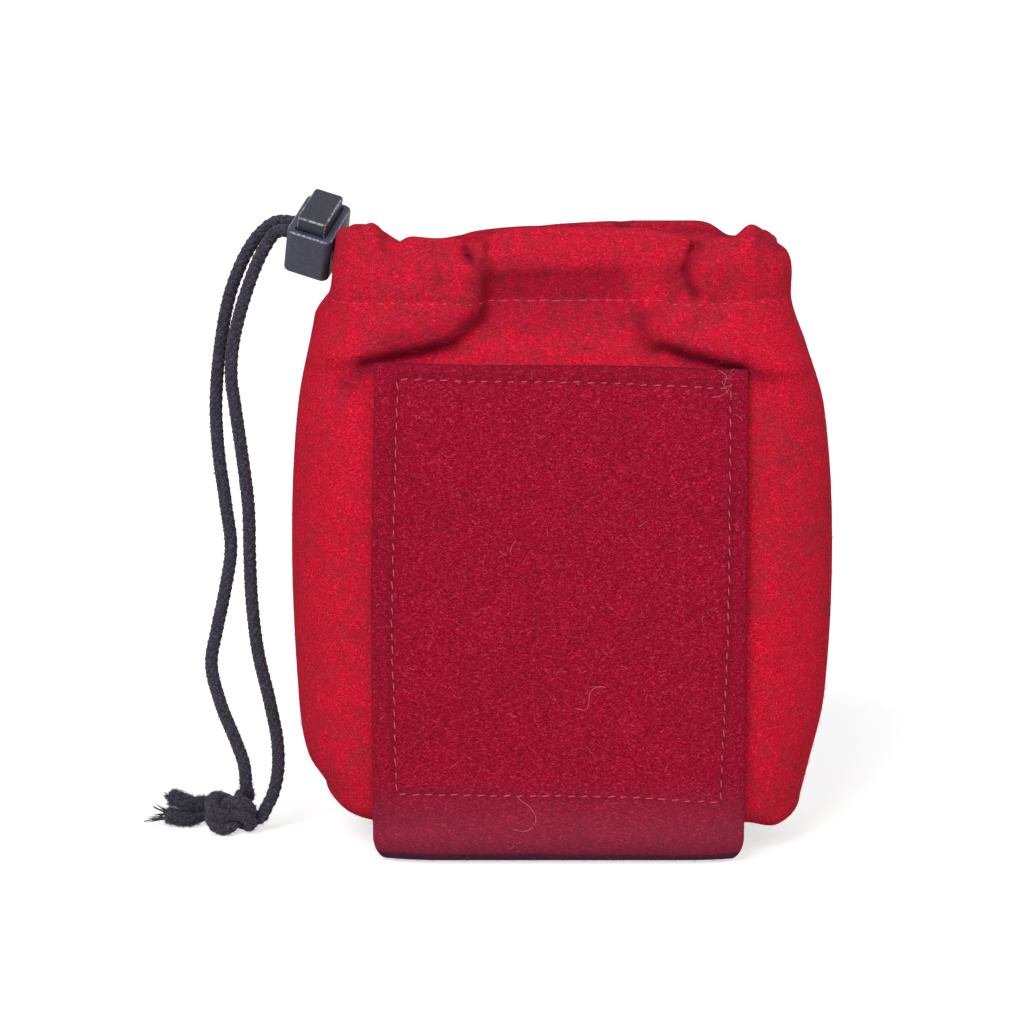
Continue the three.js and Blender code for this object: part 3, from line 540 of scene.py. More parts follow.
def inside_distance(x, z, corners):
    """Distance to a closed outline, positive inside it. Inside is where a ray to the right crosses the
    outline an odd number of times."""
    ring = [*corners, corners[0]]
    odd = np.zeros(np.shape(x), bool)
    for (ax, az), (bx, bz) in zip(ring[:-1], ring[1:]):
        if az != bz:
            crosses = (az > z) != (bz > z)
            odd ^= crosses & (x < (bx - ax) * (z - az) / (bz - az) + ax)
    return np.where(odd, 1, -1) * line_distance(x, z, ring)


def wrinkles(x, z, seed, depth):
    """Sum of a dozen sine waves of 14 to 45 mm in random directions, with the given depth."""
    random = np.random.default_rng(seed)
    total = np.zeros(np.broadcast(x, z).shape)
    for _ in range(12):
        length, turn = random.uniform(14, 45), random.uniform(0, math.pi)
        start = random.uniform(0, 2 * math.pi)
        total += np.sin(2 * math.pi * (x * math.cos(turn) + z * math.sin(turn)) / length + start)
    return depth * total / math.sqrt(12)


def plain_set_back(half, x, height):
    """The broad set-back that the solids have: a flat pleat in front, a shallow hollow behind."""
    if half is FRONT:
        return 3.2 * rise(x, -25, -14) * (1 - rise(x, 26, 37)) * gathered(height)
    return 0.8 * bump(x, 8, 18) * gathered(height)


def folds(half, x, height, depth):
    """How far the cloth is set back by its gathers. In front, the middle lies behind the two lobes: the
    step between them follows the pleat's outline, with a ridge along it and sharp creases in it. The
    solids' plain set-back holds below the gathers."""
    front = half is FRONT
    creases, swells = (FRONT_CREASES, FRONT_SWELLS) if front else (BACK_CREASES, BACK_SWELLS)
    plain = plain_set_back(half, x, height)
    back = plain
    if front:
        inside = inside_distance(x, height, PLEAT_OUTLINE)
        soft_edge = 1.05 + 1.75 * bump(height, CORD_LEVEL, 2.3) + 1.3 * (1 - rise(height, 124, 129))
        ridge = bump(inside, -4.2, 3.4) * (1 - rise(height, 142, 148))
        back = PLEAT_DEPTH * gathered(height) * rise(inside, -soft_edge, soft_edge) - PLEAT_RIDGE * ridge
    for points, width, deep in creases:
        back = back + deep * bump(line_distance(x, height, points), 0, width)
    for middle, level, wide, high, out in swells:
        back = back - out * bump(x, middle, wide) * bump(height, level, high)
    back = back + STITCH_DENT * bump(height, CHANNEL_STITCH, 0.8)
    fine = rise(height, 112.5, 117.5)
    soft = wrinkles(x, height, 3 if front else 8, depth) * rise(np.abs(height - 66), 10, 40)
    return plain * (1 - fine) + back * fine + soft


def painted_shade_share(half, x, height):
    """Share of painted shade at a point of the cloth: each line adds its share, fading over its half-width."""
    lines = FRONT_PAINTED_SHADE
    if half is BACK:
        lines = [(points, width, 0.3) for points, width, _ in BACK_CREASES]
    left = np.ones(np.broadcast(x, height).shape)
    for points, width, share in lines:
        left = left * (1 - share * bump(line_distance(x, height, points), 0, width))
    return 1 - left


def corner_lift(x, z):
    """The bottom corners beside the felt stay off the ground and sag outwards, the left one less."""
    edge = FELT_WIDTH / 2
    beside = BASE_LIFT * rise(np.abs(x), edge - 6.5, edge) - CORNER_SAG * rise(np.abs(x), edge, edge + 9)
    at_left = LEFT_CORNER_LIFT * rise(-x, edge, edge + 11)
    return (beside + at_left) * (1 - rise(z, BASE_HEIGHT, body_at(0.22)))


def side_at(half, left, height):
    """Half-width of the cloth at a height, on its left or its right."""
    shorter = half["left_shorter"] * gathered(height)
    return np.where(left, profile(LEFT_SIDE, height) - shorter, profile(RIGHT_SIDE, height))


def cloth_point(half, column, height, inset, z, wrinkle=0.0, plain=False):
    """A point of the cloth, or of a layer inset from it. Column runs from -1 at the left seam to 1 at the
    right one. A section is flat in the middle, and its ends are superellipse quarters: x grows with
    sin(angle)^(2/p) and y shrinks with cos(angle)^(2/p)."""
    column, height, inset, z = np.broadcast_arrays(
        *[np.asarray(value, float) for value in (column, height, inset, z)]
    )
    left = column < 0
    hold = gathered(height)
    end_round = profile(END_ROUND, height)
    depth = profile(HALF_DEPTH, height) - half["shallower"] * hold - inset
    reach = np.abs(column)
    angle = np.clip((reach - FLAT_SHARE) / (1 - FLAT_SHARE), 0, 1) * np.pi / 2
    sine, cosine = np.sin(angle), np.clip(np.cos(angle), 0, 1)
    notched = rise(height, CHANNEL_STITCH - 5.5, CHANNEL_STITCH + 4.5)
    room = LEFT_ROOM * hold * sine**2 * rise(inset, 2.5, 6)
    drawn_in = left * (half["left_notch"] * notched * sine**8 + room)
    flat = side_at(half, left, height) - end_round
    rounded = flat + (end_round - inset) * sine ** (2 / SECTION_POWER) - drawn_in
    x = np.where(reach > FLAT_SHARE, rounded, flat * reach / FLAT_SHARE) * np.where(left, -1, 1)
    y = depth * np.where(reach > FLAT_SHARE, cosine ** (2 / SECTION_POWER), 1)
    set_back = plain_set_back(half, x, height) if plain else folds(half, x, height, wrinkle)
    y = y - set_back * np.clip(y / 6, 0, 1)
    wave = sum(lift * bump(x, middle, width) for middle, width, lift in half["waves"])
    wave = wave * rise(height, CORD_LEVEL, RIM_ROLL_CENTRE) ** 1.5
    y = half["side"] * (SEAM_GAP / 2 + np.maximum(0, y))
    return np.stack([x, y, z + wave + corner_lift(x, z)], -1)


def column_at(half, x, height):
    """The column of the cloth that passes x at a height."""
    end_round = profile(END_ROUND, height)
    flat = side_at(half, x < 0, height) - end_round
    reach = np.abs(x)
    angle = np.arcsin(np.clip((reach - flat) / end_round, 0, 1) ** (SECTION_POWER / 2))
    on_end = FLAT_SHARE + (1 - FLAT_SHARE) * angle / (np.pi / 2)
    return np.sign(x) * np.where(reach <= flat, reach / flat * FLAT_SHARE, on_end)


def plain_y(half, x, height, inset):
    """How far out the solids' plain cloth, or a layer off it, stands at (x, height)."""
    return cloth_point(half, column_at(half, x, height), height, inset, height, plain=True)[..., 1]


# ---- Meshes ----


def link_new(name, data):
    thing = bpy.data.objects.new(name, data)
    bpy.context.scene.collection.objects.link(thing)
    return thing


def tube_faces(rings, points, start=0):
    """Quads between rings of points, each of which closes on itself."""
    r, c = np.meshgrid(np.arange(rings - 1), np.arange(points), indexing="ij")
    near, far, after = r * points, (r + 1) * points, (c + 1) % points
    return np.stack([near + c, near + after, far + after, far + c], -1).reshape(-1, 4) + start


def make_mesh(name, points, quads, triangles=(), outward=True):
    """A mesh object from points in millimetres of the part's frame."""
    mesh = bpy.data.meshes.new(name)
    quads = np.asarray(quads, np.int32).reshape(-1, 4)
    triangles = np.asarray(triangles, np.int32).reshape(-1, 3)
    corners = np.concatenate([quads.ravel(), triangles.ravel()])
    totals = np.concatenate([np.full(len(quads), 4), np.full(len(triangles), 3)])
    places = (np.asarray(points, float).reshape(-1, 3) - (BULGE_SHIFT, 0, 0)) * MM
    mesh.vertices.add(len(places))
    mesh.vertices.foreach_set("co", places.astype(np.float32).ravel())
    mesh.loops.add(len(corners))
    mesh.loops.foreach_set("vertex_index", corners)
    mesh.polygons.add(len(totals))
    starts = np.concatenate([[0], np.cumsum(totals)[:-1]]).astype(np.int32)
    mesh.polygons.foreach_set("loop_start", starts)
    mesh.polygons.foreach_set("use_smooth", np.ones(len(totals), bool))
    mesh.update(calc_edges=True)
    mesh.validate()
    if outward:
        work = bmesh.new()
        work.from_mesh(mesh)
        bmesh.ops.recalc_face_normals(work, faces=work.faces)
        work.to_mesh(mesh)
        work.free()
    return link_new(name, mesh)


def joined(*parts):
    """One (points, quads, triangles) from several."""
    points, quads, triangles = zip(*parts)
    starts = np.cumsum([0, *(len(p) for p in points[:-1])])
    return [np.vstack(points), *(
        np.vstack([face + start for face, start in zip(faces, starts)]) for faces in (quads, triangles)
    )]


def finish_piece(piece, finish, slot, body="root", replaced=()):
    """Gives a piece its material, its body, its slot and the CAD nodes it stands for."""
    piece.data.materials.clear()
    piece.data.materials.append(bpy.data.materials[finish])
    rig.ride(piece, body)
    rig.slot(piece, slot)
    if replaced:
        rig.replaces(piece, *replaced)
    return piece


def keep_attribute(piece, name, values):
    """Stores a number for each vertex, which a shader reads by its name."""
    attribute = piece.data.attributes.new(name, "FLOAT", "POINT")
    attribute.data.foreach_set("value", values.astype(np.float32))


def smooth_route(points, samples=24):
    """Centripetal Catmull-Rom curve through the points: each span is a cubic whose end slopes weigh the
    neighbouring points by the square root of their distances."""
    p = np.asarray(points, float)
    p = np.vstack([2 * p[0] - p[1], p, 2 * p[-1] - p[-2]])
    step = np.sqrt(np.linalg.norm(np.diff(p, axis=0), axis=1))[:, None]
    x0, x1, x2, x3 = p[:-3], p[1:-2], p[2:-1], p[3:]
    d0, d1, d2 = step[:-2], step[1:-1], step[2:]
    s1 = ((x1 - x0) / d0 - (x2 - x0) / (d0 + d1) + (x2 - x1) / d1) * d1
    s2 = ((x2 - x1) / d1 - (x3 - x1) / (d1 + d2) + (x3 - x2) / d2) * d1
    t = np.linspace(0, 1, samples, endpoint=False)[:, None, None]
    curve = hermite(t, x1, x2, s1, s2)
    return np.vstack([curve.transpose(1, 0, 2).reshape(-1, 3), p[-2]])


def length_along(line):
    """The length before each point of a line."""
    return np.concatenate([[0], np.cumsum(np.linalg.norm(np.diff(line, axis=0), axis=1))])


def even_points(line, step):
    """The line again, with points an even step apart, and the length before each."""
    along = length_along(line)
    at = np.linspace(0, along[-1], max(3, round(along[-1] / step) + 1))
    return np.stack([np.interp(at, along, line[:, k]) for k in range(3)], 1), at


def path_frames(line):
    """Two directions across a path at each point, carried along it without twist."""
    tangent = np.gradient(line, axis=0)
    tangent /= np.linalg.norm(tangent, axis=1)[:, None]
    first = np.cross(tangent[0], (0.3, 1, 0.2))
    across = [first / np.linalg.norm(first)]
    for t in tangent[1:]:
        kept = across[-1] - t * (across[-1] @ t)
        across.append(kept / np.linalg.norm(kept))
    across = np.array(across)
    return across, np.cross(tangent, across)


def braid_height(angle, along, strands, turn):
    """Height of a braid from 0 to 1. Strands wind both ways, so the surface falls into diamonds, and in
    each one the strand on top is a rounded ridge: sin(pi u)^0.7, a little lower near its crossings."""
    u = strands * (angle / (2 * np.pi) + along / turn)
    v = strands * (angle / (2 * np.pi) - along / turn)
    over = (np.floor(u) + np.floor(v)) % 2 == 0
    ridge_u, ridge_v = np.sin(np.pi * (u % 1)), np.sin(np.pi * (v % 1))
    top = np.where(over, ridge_u, ridge_v) ** 0.7
    side = np.where(over, ridge_v, ridge_u)
    return top * (0.55 + 0.45 * side)


def braided_tube(line, along, radius, braid, sides=36, relief=0.46):
    """Points, quads and end caps of a tube whose radius is lowest between the strands of its braid.
    Braid is (strands each way, length of one turn)."""
    first, second = path_frames(line)
    angle = np.arange(sides) * 2 * np.pi / sides
    height = braid_height(angle[None, :], along[:, None], *braid)
    reach = (np.asarray(radius) * np.ones(len(line)))[:, None] + relief * (height - 0.7)
    ring = np.cos(angle)[None, :, None] * first[:, None] + np.sin(angle)[None, :, None] * second[:, None]
    points = line[:, None] + reach[..., None] * ring
    count = len(line) * sides
    here = np.arange(sides)
    after = (here + 1) % sides
    last = (len(line) - 1) * sides
    near = np.stack([np.full(sides, count), after, here], 1)
    far = np.stack([np.full(sides, count + 1), here + last, after + last], 1)
    points = np.vstack([points.reshape(-1, 3), line[0], line[-1]])
    return points, tube_faces(len(line), sides), np.vstack([near, far])


def thin_tubes(paths, radius, sides=3):
    """Tapering threads along many paths at once. paths is (threads, points, 3), and radius is one number
    or one for each thread and point. A thread's section turns round two directions across its chord."""
    paths = np.asarray(paths, float)
    threads, count = paths.shape[:2]
    tangent = np.gradient(paths, axis=1)
    tangent /= np.linalg.norm(tangent, axis=-1, keepdims=True) + 1e-9
    helper = np.where(np.abs(tangent[..., 2:]) < 0.8, (0, 0, 1.0), (1.0, 0, 0))
    first = np.cross(tangent, helper)
    first /= np.linalg.norm(first, axis=-1, keepdims=True)
    second = np.cross(tangent, first)
    angle = np.arange(sides) * 2 * np.pi / sides
    ring = np.cos(angle)[:, None] * first[:, :, None] + np.sin(angle)[:, None] * second[:, :, None]
    reach = np.broadcast_to(radius, (threads, count))[..., None, None]
    points = (paths[:, :, None] + reach * ring).reshape(-1, 3)
    start = (np.arange(threads) * count * sides)[:, None, None]
    last = (count - 1) * sides
    fan = [(0, k, k + 1) for k in range(1, sides - 1)]
    caps = np.array(fan + [(last, last + k + 1, last + k) for k in range(1, sides - 1)])
    return points, (tube_faces(count, sides) + start).reshape(-1, 4), (caps + start).reshape(-1, 3)


def mesh_points(piece):
    """A piece's vertices in the part's millimetres."""
    points = np.zeros(len(piece.data.vertices) * 3, np.float32)
    piece.data.vertices.foreach_get("co", points)
    return points.reshape(-1, 3).astype(float) / MM + (BULGE_SHIFT, 0, 0)


def surface_samples(piece, count, seed, accept):
    """Random points on a piece, even over its area times what accept says of a place and its normal,
    with the face's normal, in the part's millimetres."""
    mesh = piece.data
    mesh.calc_loop_triangles()
    faces = np.zeros(len(mesh.loop_triangles) * 3, np.int32)
    mesh.loop_triangles.foreach_get("vertices", faces)
    a, b, c = mesh_points(piece)[faces.reshape(-1, 3)].transpose(1, 0, 2)
    normal = np.cross(b - a, c - a)
    area = np.maximum(np.linalg.norm(normal, axis=1), 1e-12)
    weight = area * accept((a + b + c) / 3, normal / area[:, None])
    random = np.random.default_rng(seed)
    i = random.choice(len(area), count, p=weight / weight.sum())
    u, v = random.random((2, count, 1))
    u, v = np.where(u + v > 1, 1 - u, u), np.where(u + v > 1, 1 - v, v)
    return a[i] + u * (b[i] - a[i]) + v * (c[i] - a[i]), normal[i] / area[i][:, None]


def fuzz_paths(places, normals, seed, length=(0.7, 2.6), lift=0.35):
    """Short curling hairs: each starts on the surface, leans over along it and bends on the way."""
    random = np.random.default_rng(seed)
    count = len(places)
    first = np.cross(normals, random.normal(size=(count, 3)))
    first /= np.linalg.norm(first, axis=1)[:, None]
    second = np.cross(normals, first)
    long = random.uniform(*length, (count, 1, 1))
    curl = random.normal(0, 0.45, (count, 1, 1))
    up = random.uniform(0.1, lift, (count, 1, 1))
    t = np.linspace(0, 1, 5)[None, :, None]
    along = long * t * (1 - 0.18 * t * np.abs(curl))
    paths = (
        places[:, None] + along * first[:, None] + long * curl * t**2 * second[:, None]
        + (long * up * np.sin(np.pi * np.clip(t * 0.85, 0, 1)) - 0.05) * normals[:, None]
    )
    paths[..., 2] = np.maximum(paths[..., 2], 0.1)
    return paths


def thread_piece(name, paths, radius, taper, finish, slot, sides=3):
    """Many threads as one piece. The taper gives shares of the radius along a thread."""
    threads = make_mesh(name, *thin_tubes(paths, radius * np.array(taper), sides), outward=False)
    return finish_piece(threads, finish, slot)


def grow_hairs(piece, name, count, seed, accept, radius, finish, slot, tip=0.35, **shape):
    """Loose hairs on a piece, thinner towards their tips."""
    places, normals = surface_samples(piece, count, seed, accept)
    paths = fuzz_paths(places, normals, seed, **shape)
    return thread_piece(name, paths, radius, [1, 1, 0.9, 0.7, tip], finish, slot)


# ---- Materials ----


def new_tree(name):
    """An empty material's node tree."""
    material = bpy.data.materials.new(name)
    material.use_nodes = True
    material.node_tree.nodes.clear()
    return material.node_tree


def feed(tree, socket, value):
    """Links another socket to this one, or sets its value."""
    if isinstance(value, bpy.types.NodeSocket):
        tree.links.new(value, socket)
    elif value is not None:
        socket.default_value = value


def add_node(tree, kind, inputs=None, **settings):
    """Adds a node, sets its properties, and feeds its inputs."""
    node = tree.nodes.new(kind)
    for key, value in settings.items():
        setattr(node, key, value)
    for key, value in (inputs or {}).items():
        feed(tree, node.inputs[key], value)
    return node


def maths(tree, operation, first, second, clamp=False):
    inputs = {0: first, 1: second}
    return add_node(tree, "ShaderNodeMath", inputs, operation=operation, use_clamp=clamp).outputs[0]


def scaled(tree, value, share):
    return maths(tree, "MULTIPLY", value, share)


def vector_maths(tree, operation, first, second=None):
    key = "Scale" if operation == "SCALE" else 1
    return add_node(tree, "ShaderNodeVectorMath", {0: first, key: second}, operation=operation).outputs[0]


def noise(tree, place, scale, detail):
    return add_node(tree, "ShaderNodeTexNoise", {"Vector": place, "Scale": scale, "Detail": detail}).outputs


def between(tree, value, low, high, to_low=0.0, to_high=1.0):
    """Maps low..high smoothly to to_low..to_high."""
    inputs = dict(enumerate((value, low, high, to_low, to_high)))
    return add_node(tree, "ShaderNodeMapRange", inputs, interpolation_type="SMOOTHSTEP").outputs[0]


def coated(tree, base, *coats):
    """Mixes coats over a colour in order. Each coat is (share, colour)."""
    for share, colour in coats:
        mix = add_node(tree, "ShaderNodeMix", {0: share}, data_type="RGBA")
        for index, value in ((6, base), (7, colour)):
            feed(tree, mix.inputs[index], value if isinstance(value, bpy.types.NodeSocket) else (*value, 1))
        base = mix.outputs[2]
    return base


def times(colour, share):
    return tuple(share * channel for channel in colour)


def object_place(tree):
    return add_node(tree, "ShaderNodeTexCoord").outputs["Object"]


def attribute(tree, name):
    return add_node(tree, "ShaderNodeAttribute", attribute_name=name).outputs["Fac"]


def new_group(name, inputs, outputs):
    """A shader group. An input with a value is a float and one without is a vector. Outputs are floats."""
    group = bpy.data.node_groups.new(name, "ShaderNodeTree")
    for label, value in inputs.items():
        kind = "NodeSocketVector" if value is None else "NodeSocketFloat"
        socket = group.interface.new_socket(label, in_out="INPUT", socket_type=kind)
        if value is not None:
            socket.default_value = value
    for label in outputs:
        group.interface.new_socket(label, in_out="OUTPUT", socket_type="NodeSocketFloat")
    return group, group.nodes.new("NodeGroupInput").outputs, group.nodes.new("NodeGroupOutput").inputs


def group_node(tree, group, inputs):
    return add_node(tree, "ShaderNodeGroup", inputs, node_tree=bpy.data.node_groups[group]).outputs


def fibre_mat_group():
    """Matted wool: thin fibres in four directions, each a noise stretched four times along one axis and
    bent by a slower noise. Tone is the mean of the higher ones, Dark and Pale are sparse single fibres,
    Blotch is a slow cloud, and Height is for a bump."""
    group, given, out = new_group(
        "Fibre mat", {"Vector": None, "Fibre size": 0.00028, "Blotch size": 0.006},
        ["Tone", "Dark", "Pale", "Blotch", "Height"],
    )
    fine = maths(group, "DIVIDE", 1.0, given["Fibre size"])
    bend = noise(group, given["Vector"], 900.0, 1.0)["Color"]
    bent = vector_maths(group, "SCALE", vector_maths(group, "SUBTRACT", bend, (0.5, 0.5, 0.5)), 0.0018)
    moved = vector_maths(group, "ADD", given["Vector"], bent)
    layers = []
    for turn in ((0.2, 0.5, 0.1), (0.4, 2.1, 0.9), (1.3, 0.9, 2.0), (0.7, 2.8, 1.4)):
        inputs = {"Vector": moved, "Rotation": turn, "Scale": (0.25, 1.0, 1.0)}
        turned = add_node(group, "ShaderNodeMapping", inputs, vector_type="POINT").outputs[0]
        layers.append(noise(group, turned, fine, 2.0)["Fac"])
    first = maths(group, "MAXIMUM", layers[0], layers[1])
    second = maths(group, "MAXIMUM", layers[2], layers[3])
    tone = scaled(group, maths(group, "ADD", first, second), 0.5)
    low = maths(group, "MINIMUM", maths(group, "MINIMUM", layers[0], layers[1]), layers[2])
    mean = scaled(group, maths(group, "ADD", layers[0], layers[3]), 0.5)
    slow = maths(group, "DIVIDE", 1.0, given["Blotch size"])
    blotch = noise(group, given["Vector"], slow, 3.0)["Fac"]
    feed(group, out["Tone"], between(group, tone, 0.48, 0.64))
    feed(group, out["Dark"], between(group, low, 0.40, 0.29))
    feed(group, out["Pale"], between(group, mean, 0.53, 0.66))
    feed(group, out["Blotch"], between(group, blotch, 0.32, 0.66))
    feed(group, out["Height"], tone)


def box_edge_group():
    """Paler edges of a block, partly rubbed and partly a painted highlight: in the block's own axes, a
    point is near an edge where the second smallest of its distances to the three pairs of faces is
    small. Noise breaks the line up."""
    group, given, out = new_group(
        "Rubbed and glinting edges", {"Vector": None, "Half size": None, "Width": 0.0004}, ["Worn", "Grain"],
    )
    size = vector_maths(group, "ABSOLUTE", given["Vector"])
    left = vector_maths(group, "SUBTRACT", given["Half size"], size)
    axes = add_node(group, "ShaderNodeSeparateXYZ", {0: left}).outputs
    low = maths(group, "MINIMUM", axes[0], axes[1])
    high = maths(group, "MAXIMUM", axes[0], axes[1])
    second = maths(group, "MAXIMUM", low, maths(group, "MINIMUM", high, axes[2]))
    line = between(group, maths(group, "DIVIDE", second, given["Width"]), 1.0, 0.3)
    broken = between(group, noise(group, given["Vector"], 1500.0, 3.0)["Fac"], 0.38, 0.62, 0.12, 1.0)
    feed(group, out["Worn"], scaled(group, line, broken))
    feed(group, out["Grain"], noise(group, given["Vector"], 5200.0, 2.0)["Fac"])


def fibre_mat(tree, place, fibre, blotch):
    return group_node(tree, "Fibre mat", {"Vector": place, "Fibre size": fibre, "Blotch size": blotch})


def shade(tree, colour, roughness, height=None, distance=0.0, **constants):
    """The surface shader: linked colour, roughness and bump, and constants on its own sockets."""
    surface = add_node(tree, "ShaderNodeBsdfPrincipled", {"Base Color": colour, "Roughness": roughness})
    for key, value in constants.items():
        surface.inputs[key.replace("_", " ").title().replace("Ior", "IOR")].default_value = value
    if height is not None:
        relief = add_node(tree, "ShaderNodeBump", {"Height": height, "Distance": distance, "Strength": 1.0})
        feed(tree, surface.inputs["Normal"], relief.outputs[0])
    add_node(tree, "ShaderNodeOutputMaterial", {0: surface.outputs[0]})


def wool_material(cloth):
    """Milled red wool with dark fibres spun in: they gather in slow blotches, and towards the mouth the
    blotches and fibres thicken as painted shade. The attribute paints shade into the folds."""
    tree = new_tree("Red wool")
    place = object_place(tree)
    mat = fibre_mat(tree, place, 0.00025, 0.0036)
    slow = fibre_mat(tree, place, 0.00085, 0.022)
    height = add_node(tree, "ShaderNodeSeparateXYZ", {0: place}).outputs[2]
    cloud = scaled(tree, mat["Blotch"], between(tree, slow["Blotch"], 0.0, 1.0, 0.4, 1.0))
    # Painted shade: from 115 mm up, the patches and dark fibres grow denser towards the mouth.
    dusk_and_top_shade = maths(tree, "ADD", cloud, between(tree, height, 0.115, 0.145, 0.0, 0.22), clamp=True)
    flecks = scaled(tree, mat["Dark"], maths(tree, "ADD", scaled(tree, dusk_and_top_shade, 0.65), 0.35))
    base = coated(
        tree, cloth.shade, (mat["Tone"], cloth.colour), (scaled(tree, mat["Pale"], 0.4), cloth.pale_fibre),
        (scaled(tree, dusk_and_top_shade, 0.5), cloth.dusk_and_top_shade),
        (scaled(tree, slow["Dark"], scaled(tree, dusk_and_top_shade, 0.5)), cloth.dark_fibre),
        # Last comes the painted shade in the folds, read from the cloth's attribute.
        (flecks, cloth.dark_fibre), (attribute(tree, "dull"), cloth.deep),
    )
    shade(
        tree, base, 0.97, mat["Height"], 0.0004, sheen_weight=0.03, sheen_roughness=0.5,
        sheen_tint=(1.0, 0.3, 0.35, 1), specular_ior_level=0.03,
    )


def felt_material(felt):
    """Crimson wool felt: denser and darker than the cloth, purpler towards the ground, and painted dark
    underneath as painted shadow where it turns under. The attribute darkens it with painted shade along
    its seam, and it is darker in the margin outside the seam and at its cut top."""
    tree = new_tree("Crimson felt")
    place = object_place(tree)
    mat = fibre_mat(tree, place, 0.00027, 0.009)
    height = add_node(tree, "ShaderNodeSeparateXYZ", {0: place}).outputs[2]
    low = maths(tree, "ADD", height, scaled(tree, noise(tree, place, 45.0, 3.0)["Fac"], 0.0026))
    base = coated(
        tree, felt.shade, (mat["Tone"], felt.colour), (scaled(tree, mat["Blotch"], 0.16), felt.dark_fibre),
        (scaled(tree, mat["Pale"], 0.6), felt.pale_fibre), (scaled(tree, mat["Dark"], 0.7), felt.dark_fibre),
        # Painted shade along the seam, and a darker margin and top edge.
        (attribute(tree, "pressed"), felt.dark_fibre),
        # Purpler and duller below 24 mm.
        (between(tree, height, 0.024, 0.006, 0.0, 0.3), (0.21, 0.055, 0.105)),
        # Painted shadow: the fold's underside, below about 5 mm, is painted dark purple.
        (between(tree, low, 0.0051, 0.0038, 0.0, 0.78), (0.055, 0.018, 0.055)),
    )
    shade(
        tree, base, 0.97, mat["Height"], 0.00035, sheen_weight=0.03, sheen_roughness=0.5,
        sheen_tint=(1.0, 0.35, 0.45, 1), specular_ior_level=0.03,
    )


def hair_material(name, colour, spread):
    """Loose hairs: one colour with a slow change from hair to hair."""
    tree = new_tree(name)
    share = between(tree, noise(tree, object_place(tree), 420.0, 2.0)["Fac"], 0.35, 0.65)
    shade(tree, coated(tree, times(colour, spread), (share, colour)), 0.8, specular_ior_level=0.2)


def cord_material(name, cord, lighter=1.0):
    """Matt black polyester braid: fine fibre streaks, greyer where the light catches fuzz."""
    tree = new_tree(name)
    mat = fibre_mat(tree, object_place(tree), 0.00028, 0.004)
    base = coated(
        tree, times(cord.colour, 0.45 * lighter), (mat["Tone"], times(cord.colour, 1.7 * lighter)),
        (scaled(tree, mat["Pale"], 0.45), (0.15, 0.125, 0.165)),
    )
    shade(
        tree, base, 0.85, mat["Height"], 0.00008, sheen_weight=0.25, sheen_roughness=0.45,
        sheen_tint=(0.75, 0.75, 0.9, 1), specular_ior_level=0.2,
    )


def plastic_material(name, lock, size, top, darker=1.0):
    """Moulded black plastic in the lock's own axes, with a fine grain and paler edges, partly rubbed and
    partly a painted highlight. The block has the given size, and its top's level on the button's axis."""
    tree = new_tree(name)
    place = object_place(tree)
    centre = LOCK_ORIGIN - (BULGE_SHIFT, 0, 0) + LOCK_AXES[2] * (top - size[2] / 2)
    turn = Matrix([[*row] for row in LOCK_AXES.T]).to_euler()
    inputs = {"Vector": place, "Location": tuple(centre * MM), "Rotation": tuple(turn)}
    local = add_node(tree, "ShaderNodeMapping", inputs, vector_type="TEXTURE").outputs[0]
    edges = {"Vector": local, "Half size": times(size, MM / 2), "Width": 0.00055}
    wear_and_glint = group_node(tree, "Rubbed and glinting edges", edges)
    cloud = noise(tree, place, 260.0, 4.0)["Fac"]
    base = coated(
        tree, times(lock.colour, 0.8 * darker),
        (between(tree, cloud, 0.3, 0.7), times(lock.colour, 1.15 * darker)),
        (between(tree, wear_and_glint["Grain"], 0.58, 0.7, 0.0, 0.16), lock.wear_and_glint),
        # Paler edges: partly wear, partly painted highlight.
        (scaled(tree, wear_and_glint["Worn"], 0.85), lock.wear_and_glint),
    )
    rough = maths(tree, "ADD", between(tree, cloud, 0.3, 0.7, 0.38, 0.5), scaled(tree, wear_and_glint["Worn"], 0.2))
    shade(tree, base, rough, wear_and_glint["Grain"], 0.00002, specular_ior_level=0.4)


def thread_material(name, colour):
    """Twisted sewing thread: fine slanting ridges a fifth of a millimetre apart, with painted shade in the grooves
    between them.
    """
    tree = new_tree(name)
    inputs = {"Vector": object_place(tree), "Scale": 900.0, "Distortion": 1.5, "Detail": 1.0}
    wave = add_node(tree, "ShaderNodeTexWave", inputs, bands_direction="DIAGONAL").outputs["Fac"]
    # Painted shade: the colour falls to 0.7 where the ridges dip.
    shade(tree, coated(tree, times(colour, 0.7), (wave, colour)), 0.8, wave, 0.00004, specular_ior_level=0.15)


def steel_material():
    """Spring wire with a thin, uneven film of dust."""
    tree = new_tree("Spring steel")
    film = noise(tree, object_place(tree), 2600.0, 3.0)["Fac"]
    base = coated(tree, (0.52, 0.53, 0.55), (between(tree, film, 0.35, 0.65), (0.68, 0.69, 0.71)))
    shade(tree, base, between(tree, film, 0.3, 0.7, 0.22, 0.4), film, 0.00001, metallic=1.0)


def shown_white(tree):
    """1 where a camera, glossy or transmission ray meets the backdrop."""
    path = add_node(tree, "ShaderNodeLightPath").outputs
    through = maths(tree, "MAXIMUM", path["Is Glossy Ray"], path["Is Transmission Ray"])
    return maths(tree, "MAXIMUM", path["Is Camera Ray"], through)


# ---- Operators ----


